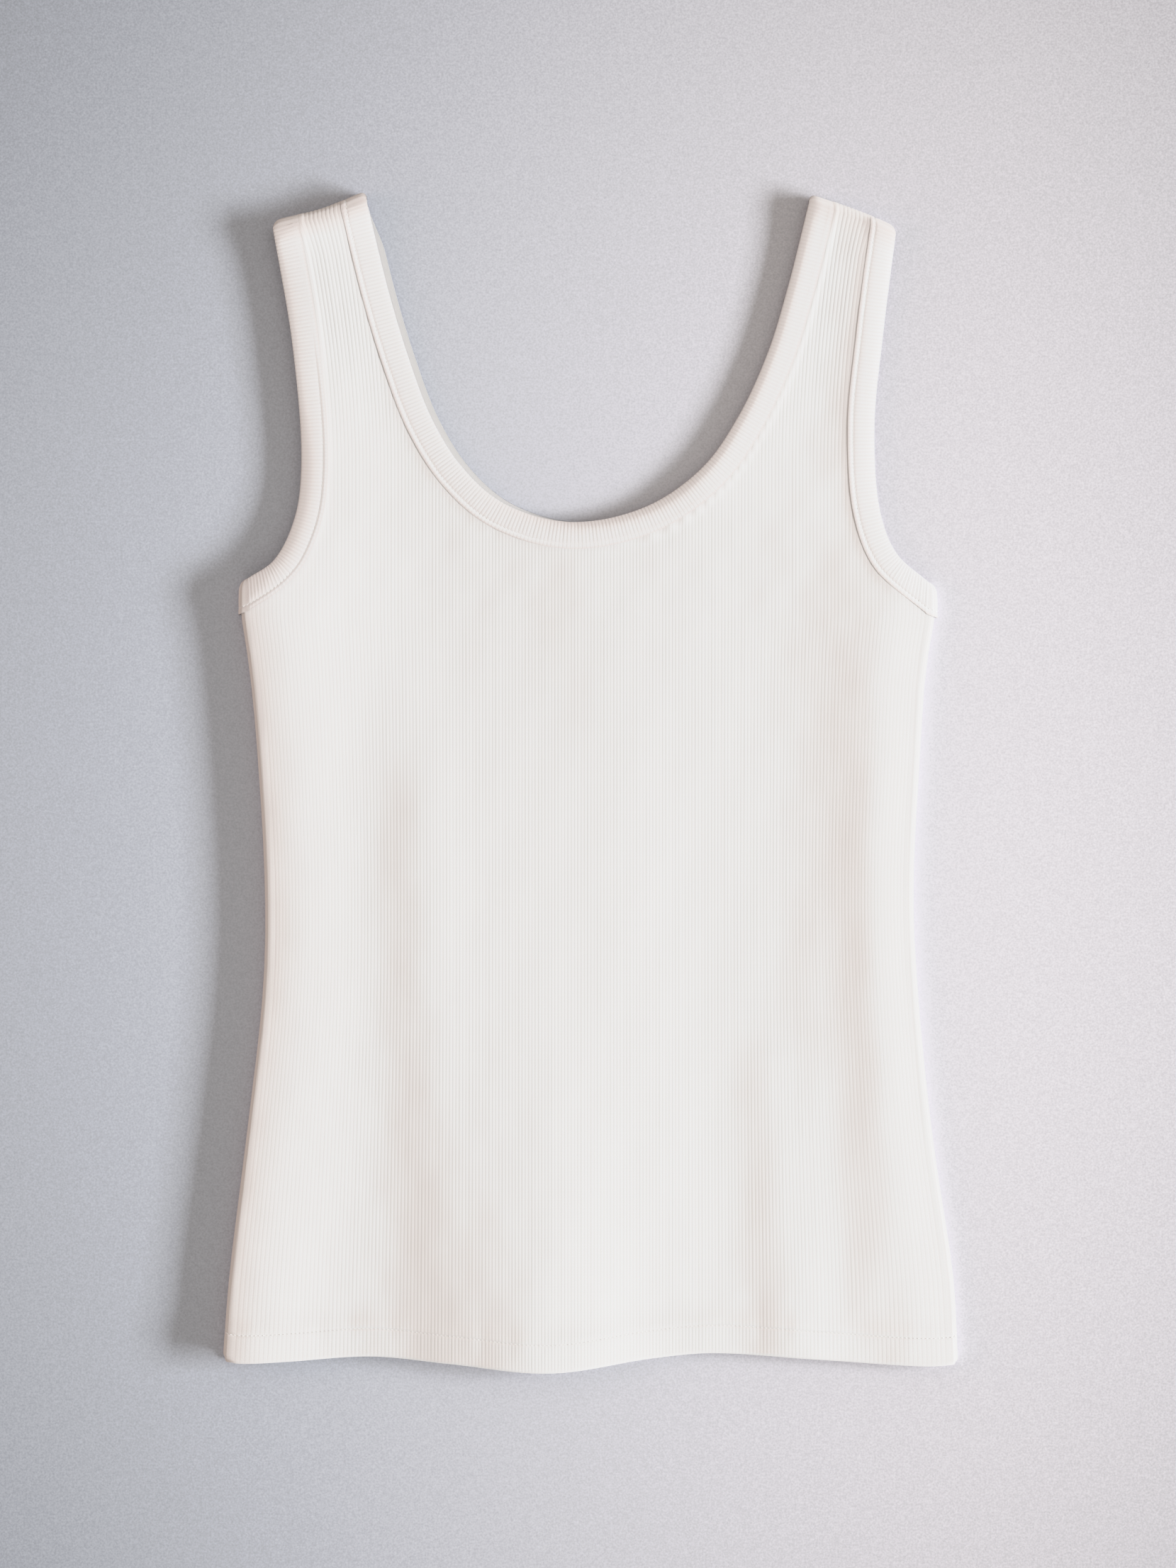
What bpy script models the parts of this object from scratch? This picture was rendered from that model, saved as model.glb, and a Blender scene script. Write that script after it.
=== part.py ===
"""Women's ribbed tank top, laid flat and face up on a surface.

Five pieces are cut and sewn: a front panel, a back panel, one binding round the neck and
one round each armhole. The back panel lies flat on the surface with the front panel on it.
The side seams and shoulder seams run along the folded edges, half way up. +Y points to
the shoulders, +Z up, and the origin lies under the middle of the garment's outline.
Left and right in the names are the wearer's, so the left armhole is at +X.

Sizes are in millimetres and are turned into metres when a mesh is made.
"""

import math
from collections import namedtuple

import bmesh
import bpy

MILLIMETRE = 0.001

# Cloth and sewing
CLOTH = 1.2
HEM_THICKNESS = 2.2
BINDING_THICKNESS = 2.2
BINDING_WIDTH = 15.5
SEAM_GAP = 0.3
HEM_DEPTH = 16.0
HEM_EDGE = 1.8
HEM_EDGE_DROP = 0.8
HEM_EDGE_TUCK = 0.5
HEM_EDGE_SETBACK = 0.9
HEM_FADE = 12.0

# Ribs of the front panel
RIB_COUNT = 200
RIB_HEIGHT = 0.35
RIB_REST_HEIGHT = -59.0
SIDE_PULL = 4.0

# Folded edges
ROLL = 5.0
SIDE_SEAM_HEIGHT = 3.0
SHOULDER_SEAM_HEIGHT = 3.4
BINDING_PROUD = 1.7
UNDERARM_SLOPE = 0.35
CORNER_RADIUS = 3.2
ROLL_ANGLES = (90.0, 60.0, 30.0, 0.0)
HALF_TURN = (90.0, 54.0, 18.0, -18.0, -54.0, -90.0)

# Air between the layers
BODY_LOFT = 2.0
BINDING_LOFT = 1.0

# Straps
STRAP_FOOT = 181.0
STRAP_TOP = 330.0
STRAP_POWER = 1.8
STRAP_MIDDLE = 118.0
STRAP_ROWS = (181.0, 212.0, 242.0, 270.0, 296.0)
Strap = namedtuple("Strap", "side arm_side neck_side lean")
STRAPS = (
    Strap(-1, -158.0, -80.0, 15.0),
    Strap(1, 153.0, 72.0, 12.0),
)

# Rows of the panels between the hem and the foot of the straps
BODY_ROWS = (-255.0, -185.0, -115.0, -45.0, 25.0, 92.0, 138.0)

# Side seams: distance of each side from the middle line at each height
SideRow = namedtuple("SideRow", "height right left")
SIDES = (
    SideRow(-327.8, -209.6, 209.8),
    SideRow(-281.3, -205.9, 207.1),
    SideRow(-200.4, -196.0, 195.2),
    SideRow(-119.5, -186.9, 187.0),
    SideRow(-58.9, -185.7, 184.5),
    SideRow(22.0, -190.3, 188.5),
    SideRow(62.5, -194.2, 191.3),
    SideRow(94.9, -199.0, 196.6),
)

# Lower edge of the hem, which waves with the folds
HemRow = namedtuple("HemRow", "x height")
HEM = (
    HemRow(-209.6, -328.6),
    HemRow(-200.0, -330.8),
    HemRow(-173.5, -329.9),
    HemRow(-125.0, -327.0),
    HemRow(-81.0, -331.0),
    HemRow(-23.0, -336.3),
    HemRow(35.0, -328.3),
    HemRow(70.0, -325.4),
    HemRow(127.0, -328.9),
    HemRow(188.0, -332.9),
    HemRow(209.8, -331.5),
)

# Fold line across the top of each strap
ShoulderRow = namedtuple("ShoulderRow", "x height")
SHOULDERS = {
    -1: (
        ShoulderRow(-177.0, 321.9),
        ShoulderRow(-153.5, 327.6),
        ShoulderRow(-131.5, 336.5),
    ),
    1: (
        ShoulderRow(128.0, 335.2),
        ShoulderRow(149.5, 327.9),
        ShoulderRow(170.5, 319.5),
    ),
}

# Free edge of the neck binding on the front, from the right strap to the left one
EdgeRow = namedtuple("EdgeRow", "x height")
NECK_EDGE = (
    EdgeRow(-127.6, 331.6),
    EdgeRow(-115.3, 280.9),
    EdgeRow(-104.4, 244.5),
    EdgeRow(-90.6, 208.1),
    EdgeRow(-72.8, 179.8),
    EdgeRow(-49.3, 159.6),
    EdgeRow(-11.3, 149.1),
    EdgeRow(31.1, 157.6),
    EdgeRow(63.5, 179.8),
    EdgeRow(83.7, 208.1),
    EdgeRow(100.7, 244.5),
    EdgeRow(112.0, 280.9),
    EdgeRow(124.6, 331.3),
)
BACK_NECK_SHIFT = (3.5, 3.0)
BACK_NECK_FROM = 60.0
BACK_NECK_FULL = -60.0

# Free edge of each armhole binding, from the underarm to the shoulder
ARM_EDGES = {
    -1: (
        EdgeRow(-195.7, 116.4),
        EdgeRow(-180.4, 127.2),
        EdgeRow(-168.7, 151.5),
        EdgeRow(-165.0, 183.8),
        EdgeRow(-169.9, 248.6),
        EdgeRow(-181.0, 315.6),
    ),
    1: (
        EdgeRow(193.3, 114.5),
        EdgeRow(174.7, 131.3),
        EdgeRow(165.4, 155.5),
        EdgeRow(162.2, 204.1),
        EdgeRow(166.7, 252.6),
        EdgeRow(174.2, 313.0),
    ),
}
UNDERARM_SPAN = 18.5
UNDERARM_INSET = 1.0
END_BLEND = 26.0
BACK_BLEND = 16.0
STATION_STEP = 11.0

# Section of a binding: distance from its free edge, height above its inner face
SectionRow = namedtuple("SectionRow", "across rise")
BINDING_SECTION = (
    SectionRow(0.0, 1.1),
    SectionRow(0.5, 1.8),
    SectionRow(2.2, 2.2),
    SectionRow(10.4, 2.1),
    SectionRow(12.4, 1.6),
    SectionRow(13.4, 2.3),
    SectionRow(14.6, 2.4),
    SectionRow(15.5, 1.5),
    SectionRow(15.5, 0.0),
    SectionRow(0.9, 0.0),
)

# Soft folds of the front: a ridge from one point to another, with its height at each
Fold = namedtuple("Fold", "name x_from y_from x_to y_to spread height_from height_to")
FOLDS = (
    Fold("middle swell", -26.0, -345.0, -30.0, -20.0, 48.0, 4.8, 0.9),
    Fold("chest swell", -12.0, -20.0, 4.0, 85.0, 60.0, 1.1, 1.0),
    Fold("hem ripple", 112.0, -345.0, 104.0, -170.0, 16.0, 0.9, 0.3),
    Fold("right strap", -148.0, 190.0, -150.0, 285.0, 24.0, 0.9, 0.9),
    Fold("left strap", 144.0, 190.0, 147.0, 285.0, 24.0, 0.9, 0.9),
    Fold("right shoulder", -181.0, 322.0, -127.0, 334.0, 20.0, 1.8, 1.8),
    Fold("left shoulder", 125.0, 334.0, 175.0, 320.0, 20.0, 1.8, 1.8),
)

# Soft ridge along each folded side: how far in from the side it lies, and its height
Ridge = namedtuple("Ridge", "side inset spread height")
SIDE_RIDGES = (
    Ridge(-1, 15.0, 22.0, 1.0),
    Ridge(1, 30.0, 22.0, 1.2),
)

# Columns of the plain faces, counted in half ribs
FINE_COLUMNS = 12
FINE_STEP = 2
COARSE_STEP = 16
BACK_COARSE_STEP = 32

CUTTER_TOP = 370.0
CUTTER_SIDE = 250.0
CUTTER_DEPTH = 40.0
MERGE_DISTANCE = 0.00001
SHARP_ANGLE = 40.0

# Spans of knots over which a centripetal curve blends its points, level by level
BLEND_SPANS = (((0, 1), (1, 2), (2, 3)), ((0, 2), (1, 3)), ((1, 2),))

CLOTH_COLOUR = (0.87, 0.865, 0.85, 1.0)
BINDING_COLOUR = (0.88, 0.873, 0.855, 1.0)
CLOTH_ROUGHNESS = 0.9

FRONT = 1
BACK = -1


# ---------------------------------------------------------------- small mathematics

def smooth_step(value):
    """Ease from 0 to 1 as the value goes from 0 to 1."""
    value = min(max(value, 0.0), 1.0)
    return value * value * (3.0 - 2.0 * value)


def read_table(rows, key, value, at):
    """Read a table of rows as a smooth curve, held level past its ends."""
    keys = [getattr(row, key) for row in rows]
    values = [getattr(row, value) for row in rows]
    if at <= keys[0]:
        return values[0]
    if at >= keys[-1]:
        return values[-1]
    last = len(keys) - 1
    index = max(i for i in range(last) if keys[i] <= at)

    def slope(i):
        low = max(i - 1, 0)
        high = min(i + 1, last)
        return (values[high] - values[low]) / (keys[high] - keys[low])

    width = keys[index + 1] - keys[index]
    t = (at - keys[index]) / width
    step = values[index + 1] - values[index]
    ease = t * t * (3.0 - 2.0 * t)
    start = t * (1.0 - t) * (1.0 - t) * width * slope(index)
    end = t * t * (1.0 - t) * width * slope(index + 1)
    return values[index] + step * ease + start - end


def curve_through(rows, step):
    """Return points a step apart on a smooth curve through the rows of an edge table."""
    points = [(row.x, row.height) for row in rows]
    first = tuple(2 * a - b for a, b in zip(points[0], points[1]))
    last = tuple(2 * a - b for a, b in zip(points[-1], points[-2]))
    points = [first] + points + [last]
    curve = []
    for index in range(1, len(points) - 2):
        before, start, end, after = points[index - 1:index + 3]
        length = math.dist(start, end)
        count = max(2, round(length / step))
        knots = [0.0]
        for one, two in ((before, start), (start, end), (end, after)):
            knots.append(knots[-1] + math.sqrt(math.dist(one, two)))
        for number in range(count):
            t = knots[1] + (knots[2] - knots[1]) * number / count
            curve.append(spline_point((before, start, end, after), knots, t))
    curve.append(points[-2])
    return curve


def spline_point(points, knots, t):
    """Blend four neighbouring points of a centripetal curve at one parameter."""
    for spans in BLEND_SPANS:
        blended = []
        for i, (low, high) in enumerate(spans):
            share = (t - knots[low]) / (knots[high] - knots[low])
            pair = zip(points[i], points[i + 1])
            blended.append(tuple(a + (b - a) * share for a, b in pair))
        points = blended
    return points[0]


# ---------------------------------------------------------------- shape of the front

def side_line(side, height):
    """Return x of the folded side edge at a height."""
    return read_table(SIDES, "height", "right" if side < 0 else "left", height)


def hem_line(x):
    """Return the height of the hem's lower edge at x."""
    return read_table(HEM, "x", "height", x)


def shoulder_line(side, x):
    """Return the height of the fold across a strap at x, carried on straight past its rows."""
    rows = SHOULDERS[side]
    low, high = rows[0], rows[-1]
    inside = read_table(rows, "x", "height", x)
    slope = (high.height - low.height) / (high.x - low.x)
    beyond = min(x - low.x, 0.0) + max(x - high.x, 0.0)
    return inside + beyond * slope


def fold_height(fold, x, y):
    """Return how far one soft fold lifts the cloth at a point."""
    along_x = fold.x_to - fold.x_from
    along_y = fold.y_to - fold.y_from
    length = math.hypot(along_x, along_y)
    share = ((x - fold.x_from) * along_x + (y - fold.y_from) * along_y) / length ** 2
    share = min(max(share, 0.0), 1.0)
    gap = math.hypot(x - fold.x_from - share * along_x, y - fold.y_from - share * along_y)
    height = fold.height_from + share * (fold.height_to - fold.height_from)
    return height * math.exp(-(gap / fold.spread) ** 2)


def lift(x, y):
    """Return how far the folds and the ridges along the sides lift the front layer."""
    height = sum(fold_height(fold, x, y) for fold in FOLDS)
    for ridge in SIDE_RIDGES:
        inward = max(ridge.side * (side_line(ridge.side, y) - x), 0.0)
        height += ridge.height * math.exp(-((inward - ridge.inset) / ridge.spread) ** 2)
    return height


def hem_share(x, y):
    """Return 1 in the turned-up hem, easing to 0 above it."""
    above = y - hem_line(x) - HEM_DEPTH
    return 1.0 - smooth_step(above / HEM_FADE)


def front_top(x, y):
    """Return the height of the front panel's outer face between its ribs."""
    layers = 2.0 * CLOTH + SEAM_GAP + BODY_LOFT
    hem_rise = (HEM_THICKNESS - CLOTH) * hem_share(x, y)
    return layers + hem_rise + lift(x, y)


def binding_seat(x, y):
    """Return the height of the inner face of a front binding."""
    return BINDING_THICKNESS + SEAM_GAP + BINDING_LOFT + lift(x, y)


# ---------------------------------------------------------------- panels

Row = namedtuple("Row", "height above_hem angle outer_drop inner_tuck thickness")


def body_row(height):
    """Return a row of the panel at a fixed height."""
    return Row(height, None, None, 0.0, 0.0, CLOTH)


def hem_row(above, drop, tuck, thickness):
    """Return a row of the panel that follows the hem's lower edge."""
    return Row(None, above, None, drop, tuck, thickness)


def shoulder_row(angle):
    """Return a row of the panel on the shoulder fold, at its angle round the fold."""
    return Row(None, None, angle, 0.0, 0.0, CLOTH)


HEM_ROWS = (
    hem_row(0.0, HEM_EDGE_DROP, HEM_EDGE_TUCK, HEM_THICKNESS),
    hem_row(HEM_EDGE, 0.0, 0.0, HEM_THICKNESS),
    hem_row(HEM_DEPTH, 0.0, 0.0, HEM_THICKNESS),
)
PANEL_ROWS = HEM_ROWS + tuple(body_row(height) for height in BODY_ROWS)
STRAP_PANEL_ROWS = (
    tuple(body_row(height) for height in STRAP_ROWS)
    + tuple(shoulder_row(angle) for angle in ROLL_ANGLES)
)


def roll_arc():
    """Return the length of cloth in the quarter turn of a side fold."""
    return 0.5 * math.pi * 0.5 * (ROLL + SIDE_SEAM_HEIGHT)


def cloth_width(side, height):
    """Return the length of cloth from the middle line to a side seam."""
    return abs(side_line(side, height)) - ROLL + roll_arc()


def rib_place(share, height):
    """Return the side and the way along the cloth of a rib, with its share from -1 to 1.

    Ribs run straight up the middle and follow the side seams near the sides.
    """
    side = -1 if share < 0 else 1
    rest = cloth_width(side, RIB_REST_HEIGHT)
    spread = cloth_width(side, height) - rest
    way = abs(share) * rest + abs(share) ** SIDE_PULL * spread
    return side, way


def strap_lean(side, height, way):
    """Return how far a strap leans outward at a height. Its ribs fan out a little."""
    strap = next(row for row in STRAPS if row.side == side)
    share = max(height - STRAP_FOOT, 0.0) / (STRAP_TOP - STRAP_FOOT)
    return side * strap.lean * share ** STRAP_POWER * way / STRAP_MIDDLE


def panel_point(face, share, row, inward, raised):
    """Return a point of a panel.

    Args:
        face: FRONT or BACK.
        share: place across the panel, from -1 at the right side seam to 1 at the left.
        row: row of the panel.
        inward: whether the point is on the inner face.
        raised: height of a rib over the outer face.
    """
    height = row.height
    if row.above_hem is not None:
        side, way = rib_place(share, SIDES[0].height)
        x = side * min(way, abs(side_line(side, SIDES[0].height)))
        height = hem_line(x) + row.above_hem
    if inward and row.inner_tuck:
        height += HEM_EDGE_SETBACK
    if row.angle is not None:
        height = STRAP_TOP
    side, way = rib_place(share, height)
    edge = side_line(side, height)
    flat = abs(edge) - ROLL
    offset = raised - row.outer_drop
    if inward:
        offset = row.inner_tuck - row.thickness
    if way > flat:
        return side_fold_point(face, side, height, (way - flat) / roll_arc(), offset)
    x = side * way + strap_lean(side, height, way)
    if row.angle is not None:
        return shoulder_fold_point(face, side, x, math.radians(row.angle), offset)
    if face == BACK:
        return (x, height, -offset)
    return (x, height, front_top(x, height) + offset)


def turned_height(face, middle, rise, angle):
    """Return the height of a point on a quarter turn, half a seam gap clear of the middle."""
    clear = 0.5 * SEAM_GAP * (1.0 - math.sin(angle))
    return middle + face * (rise * math.sin(angle) + clear)


def side_fold_point(face, side, height, turned, offset):
    """Return a point on the quarter turn that leads down to a side seam."""
    angle = 0.5 * math.pi * (1.0 - min(turned, 1.0))
    centre = side_line(side, height) - side * ROLL
    middle = SIDE_SEAM_HEIGHT
    rise = middle if face == BACK else front_top(centre, height) - middle
    x = centre + side * (ROLL + offset) * math.cos(angle)
    return (x, height, turned_height(face, middle, rise + offset, angle))


def shoulder_fold_point(face, side, x, angle, offset):
    """Return a point on the quarter turn that leads down to a shoulder seam."""
    start = shoulder_line(side, x) - ROLL
    middle = SHOULDER_SEAM_HEIGHT
    rise = middle if face == BACK else front_top(x, start) - middle
    y = start + (ROLL + offset) * math.cos(angle)
    return (x, y, turned_height(face, middle, rise + offset, angle))


def plain_columns(step):
    """Return the columns, in half ribs, that a plain face of a panel has.

    The step between them is small on the folded sides.
    """
    last = 2 * RIB_COUNT
    near = range(0, FINE_COLUMNS, FINE_STEP)
    columns = set(near) | {last - column for column in near} | {RIB_COUNT}
    for column in range(FINE_COLUMNS, RIB_COUNT, step):
        columns |= {column, last - column}
    return sorted(columns)


def strap_columns(strap, columns):
    """Return the first and last plain column that a strap needs at its foot."""
    rest = cloth_width(strap.side, RIB_REST_HEIGHT)
    ends = sorted((strap.arm_side, strap.neck_side))
    low = RIB_COUNT * (1.0 + ends[0] / rest)
    high = RIB_COUNT * (1.0 + ends[1] / rest)
    first = max(column for column in columns if column <= low)
    last = min(column for column in columns if column >= high)
    return first, last


def build_panel(name, face, ribbed):
    """Build a panel as a closed wall, wider than its cut at the neck and armholes."""
    plain = plain_columns(COARSE_STEP if ribbed else BACK_COARSE_STEP)
    last = 2 * RIB_COUNT
    outer = list(range(last + 1)) if ribbed else plain
    mesh = bmesh.new()
    points = {}

    blocks = [(PANEL_ROWS + STRAP_PANEL_ROWS[:1], 0, last)]
    blocks += [(STRAP_PANEL_ROWS,) + strap_columns(strap, plain) for strap in STRAPS]

    def on_border(column, row):
        if row == STRAP_PANEL_ROWS[0]:
            return not any(first < column < end for _, first, end in blocks[1:])
        return row in (PANEL_ROWS[0], STRAP_PANEL_ROWS[-1])

    def point(column, row_number, rows, inward):
        row = rows[row_number]
        key = (column, row, inward)
        if key not in points:
            rib = ribbed and column % 2 and not on_border(column, row)
            share = column / RIB_COUNT - 1.0
            place = panel_point(face, share, row, inward, RIB_HEIGHT if rib else 0.0)
            points[key] = mesh.verts.new([value * MILLIMETRE for value in place])
        return points[key]

    edges = {}
    for rows, first, end in blocks:
        for number in range(len(rows) - 1):
            for inward, columns in ((False, outer), (True, plain)):
                used = [column for column in columns if first <= column <= end]
                for left, right in zip(used, used[1:]):
                    mesh.faces.new((
                        point(left, number, rows, inward),
                        point(right, number, rows, inward),
                        point(right, number + 1, rows, inward),
                        point(left, number + 1, rows, inward),
                    ))
            used = [column for column in plain if first <= column <= end]
            for left, right in zip(used, used[1:]):
                for row in (rows[number], rows[number + 1]):
                    edges.setdefault((left, right, row), []).append((rows, number))
            for column in (first, end):
                mesh.faces.new((
                    point(column, number, rows, False),
                    point(column, number + 1, rows, False),
                    point(column, number + 1, rows, True),
                    point(column, number, rows, True),
                ))
    for (left, right, row), owners in edges.items():
        if len(owners) > 1:
            continue
        rows = owners[0][0]
        number = rows.index(row)
        chain = [column for column in outer if left <= column <= right]
        half = 0.5 * (left + right)
        turn = min(range(len(chain)), key=lambda i: abs(chain[i] - half))
        low = point(left, number, rows, True)
        high = point(right, number, rows, True)
        for i, (one, two) in enumerate(zip(chain, chain[1:])):
            corner = low if i < turn else high
            mesh.faces.new((
                point(one, number, rows, False),
                point(two, number, rows, False),
                corner,
            ))
        mesh.faces.new((low, high, point(chain[turn], number, rows, False)))
    return finish_mesh(name, mesh, CLOTH_COLOUR)


# ---------------------------------------------------------------- bindings

Station = namedtuple("Station", "x y across_x across_y")


def lay_stations(edge, body_turn, start_across, end_across):
    """Lay stations along a binding's free edge.

    Args:
        edge: points along the free edge.
        body_turn: 1 when the body lies to the left of the way along the edge, -1 to its right.
        start_across: the way across the band at its first fold, with its width as length.
        end_across: the same at its last fold.
    """
    lengths = [0.0]
    for one, two in zip(edge, edge[1:]):
        lengths.append(lengths[-1] + math.dist(one, two))
    stations = []
    for i, (x, y) in enumerate(edge):
        before = edge[max(i - 1, 0)]
        after = edge[min(i + 1, len(edge) - 1)]
        length = math.dist(before, after)
        across = [
            -body_turn * (after[1] - before[1]) / length * BINDING_WIDTH,
            body_turn * (after[0] - before[0]) / length * BINDING_WIDTH,
        ]
        for end, way in ((start_across, lengths[i]), (end_across, lengths[-1] - lengths[i])):
            blend = 1.0 - smooth_step(way / END_BLEND)
            across = [a + (b - a) * blend for a, b in zip(across, end)]
        stations.append(Station(x, y, across[0], across[1]))
    return stations


def across_shoulder(side, width, towards):
    """Return the way across a band along a shoulder fold, towards -X or +X."""
    rows = SHOULDERS[side]
    run = (rows[-1].x - rows[0].x, rows[-1].height - rows[0].height)
    length = math.hypot(*run)
    return (towards * run[0] / length * width, towards * run[1] / length * width)


def neck_stations():
    """Return the stations of the neck binding on the front, from right to left."""
    edge = curve_through(NECK_EDGE, STATION_STEP)
    start = across_shoulder(-1, BINDING_WIDTH, -1)
    end = across_shoulder(1, BINDING_WIDTH, 1)
    return lay_stations(edge, -1, start, end)


def back_neck_stations():
    """Return the stations of the neck binding on the back, which lies a little off the front."""
    stations = neck_stations()
    top = min(stations[0].y, stations[-1].y)
    shifted = []
    for station in stations:
        sideways = (BACK_NECK_FROM - station.x) / (BACK_NECK_FROM - BACK_NECK_FULL)
        share = smooth_step(sideways) * smooth_step((top - station.y) / BACK_BLEND)
        shifted.append(station._replace(
            x=station.x + share * BACK_NECK_SHIFT[0],
            y=station.y + share * BACK_NECK_SHIFT[1],
        ))
    return shifted


def arm_stations(side):
    """Return the stations of an armhole binding, from the underarm to the shoulder."""
    edge = curve_through(ARM_EDGES[side], STATION_STEP)
    start = (-side * UNDERARM_INSET, -UNDERARM_SPAN)
    end = across_shoulder(side, BINDING_WIDTH, -side)
    return lay_stations(edge, side, start, end)


def corner_inset(across):
    """Return how far a fold's end is held back near the free edge, for a round corner."""
    inside = 1.0 - min(across / CORNER_RADIUS, 1.0)
    return CORNER_RADIUS * (1.0 - math.sqrt(1.0 - inside * inside))


def flat_section(station, face):
    """Return a section of a band where it lies flat on the front or the back."""
    section = []
    for row in BINDING_SECTION:
        share = row.across / BINDING_WIDTH
        x = station.x + station.across_x * share
        y = station.y + station.across_y * share
        if face == FRONT:
            section.append((x, y, binding_seat(x, y) + row.rise))
        else:
            section.append((x, y, max(BINDING_THICKNESS - row.rise, 0.0)))
    return section


def fold_section(station, angle, seat_start, reach_way, end_line):
    """Return a section of a band on a fold, at its angle from top (90) to bottom (-90).

    Args:
        station: the last flat station before the fold.
        angle: angle round the fold in degrees.
        seat_start: function that gives the front's inner face at a point.
        reach_way: plan direction in which the fold reaches out.
        end_line: function that gives how far out a point lies before the fold, to level it.
    """
    turn = math.radians(angle)
    section = []
    for row in BINDING_SECTION:
        share = row.across / BINDING_WIDTH
        x = station.x + station.across_x * share
        y = station.y + station.across_y * share
        reach = end_line(x, y)
        top = seat_start(x, y)
        middle = 0.5 * (top + BINDING_THICKNESS)
        radius = 0.5 * (top - BINDING_THICKNESS)
        out = (ROLL - BINDING_THICKNESS + row.rise) * math.cos(turn)
        out = out * (1.0 - corner_inset(row.across) / ROLL) + reach
        z = middle + (radius + row.rise) * math.sin(turn)
        section.append((x + reach_way[0] * out, y + reach_way[1] * out, max(z, 0.0)))
    return section


def shoulder_fold(station, side, angles):
    """Return the sections of a band over a shoulder fold."""
    def level(x, y):
        return shoulder_line(side, x) - ROLL - y
    return [fold_section(station, angle, binding_seat, (0.0, 1.0), level) for angle in angles]


def underarm_fold(station, side, angles):
    """Return the sections of a band over the fold at an underarm."""
    def level(x, y):
        return side * (side_line(side, y) - x) + BINDING_PROUD - ROLL
    way = (side, -UNDERARM_SLOPE)
    return [fold_section(station, angle, binding_seat, way, level) for angle in angles]


def build_ring(name, sections):
    """Join sections into a closed ring."""
    mesh = bmesh.new()
    rings = [
        [mesh.verts.new([value * MILLIMETRE for value in point]) for point in section]
        for section in sections
    ]
    for ring, following in zip(rings, rings[1:] + rings[:1]):
        for i, vertex in enumerate(ring):
            beside = (i + 1) % len(ring)
            mesh.faces.new((vertex, ring[beside], following[beside], following[i]))
    return finish_mesh(name, mesh, BINDING_COLOUR)


def build_neck_binding():
    """Build the neck binding, a ring folded over both shoulders."""
    front = neck_stations()
    back = back_neck_stations()
    sections = [flat_section(station, FRONT) for station in front[1:-1]]
    sections += shoulder_fold(front[-1], 1, HALF_TURN)
    sections += [flat_section(station, BACK) for station in reversed(back[1:-1])]
    sections += shoulder_fold(front[0], -1, HALF_TURN[::-1])
    return build_ring("neck_binding", sections)


def build_arm_binding(name, side):
    """Build an armhole binding, a ring folded over the underarm and the shoulder."""
    stations = arm_stations(side)
    sections = [flat_section(station, FRONT) for station in stations[1:-1]]
    sections += shoulder_fold(stations[-1], side, HALF_TURN)
    sections += [flat_section(station, BACK) for station in reversed(stations[1:-1])]
    sections += underarm_fold(stations[0], side, HALF_TURN[::-1])
    return build_ring(name, sections)


# ---------------------------------------------------------------- cutting the panels out

def seam_points(stations):
    """Return the line a seam gap away from the stitched edge of a band."""
    points = []
    for station in stations:
        width = math.hypot(station.across_x, station.across_y)
        share = 1.0 + SEAM_GAP / width
        points.append((station.x + station.across_x * share, station.y + station.across_y * share))
    return points


def neck_cut(stations):
    """Return the outline of what is cut away inside the neck seam."""
    seam = seam_points(stations)
    return [(seam[0][0], CUTTER_TOP)] + seam + [(seam[-1][0], CUTTER_TOP)]


def arm_cut(stations, side):
    """Return the outline of what is cut away outside an armhole seam."""
    seam = seam_points(stations)
    x, y = seam[0]
    outward = CUTTER_SIDE - abs(x)
    corner = (side * CUTTER_SIDE, y - UNDERARM_SLOPE * outward)
    far = (side * CUTTER_SIDE, CUTTER_TOP)
    return [corner] + seam + [(seam[-1][0], CUTTER_TOP), far]


def build_cutter(name, outline, collection):
    """Build a cutter as a flat outline with a depth, made into a mesh."""
    curve = bpy.data.curves.new(name, "CURVE")
    curve.dimensions = "2D"
    curve.fill_mode = "BOTH"
    curve.extrude = 0.5 * CUTTER_DEPTH * MILLIMETRE
    spline = curve.splines.new("POLY")
    spline.points.add(len(outline) - 1)
    for point, (x, y) in zip(spline.points, outline):
        point.co = (x * MILLIMETRE, y * MILLIMETRE, 0.0, 1.0)
    spline.use_cyclic_u = True
    drawn = bpy.data.objects.new(name + "_outline", curve)
    collection.objects.link(drawn)
    bpy.context.view_layer.update()
    graph = bpy.context.evaluated_depsgraph_get()
    solid = bpy.data.meshes.new_from_object(drawn.evaluated_get(graph))
    mesh = bmesh.new()
    mesh.from_mesh(solid)
    bmesh.ops.remove_doubles(mesh, verts=mesh.verts, dist=MERGE_DISTANCE)
    bmesh.ops.recalc_face_normals(mesh, faces=mesh.faces)
    mesh.to_mesh(solid)
    mesh.free()
    cutter = bpy.data.objects.new(name, solid)
    cutter.matrix_world = drawn.matrix_world
    collection.objects.link(cutter)
    bpy.data.objects.remove(drawn)
    cutter.hide_render = True
    cutter.display_type = "WIRE"
    return cutter


def cut_panel(panel, cutters):
    """Cut the neck and the armholes out of a panel."""
    for cutter in cutters:
        cut = panel.modifiers.new(cutter.name, "BOOLEAN")
        cut.operation = "DIFFERENCE"
        cut.solver = "EXACT"
        cut.object = cutter


# ---------------------------------------------------------------- materials and scene

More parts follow.
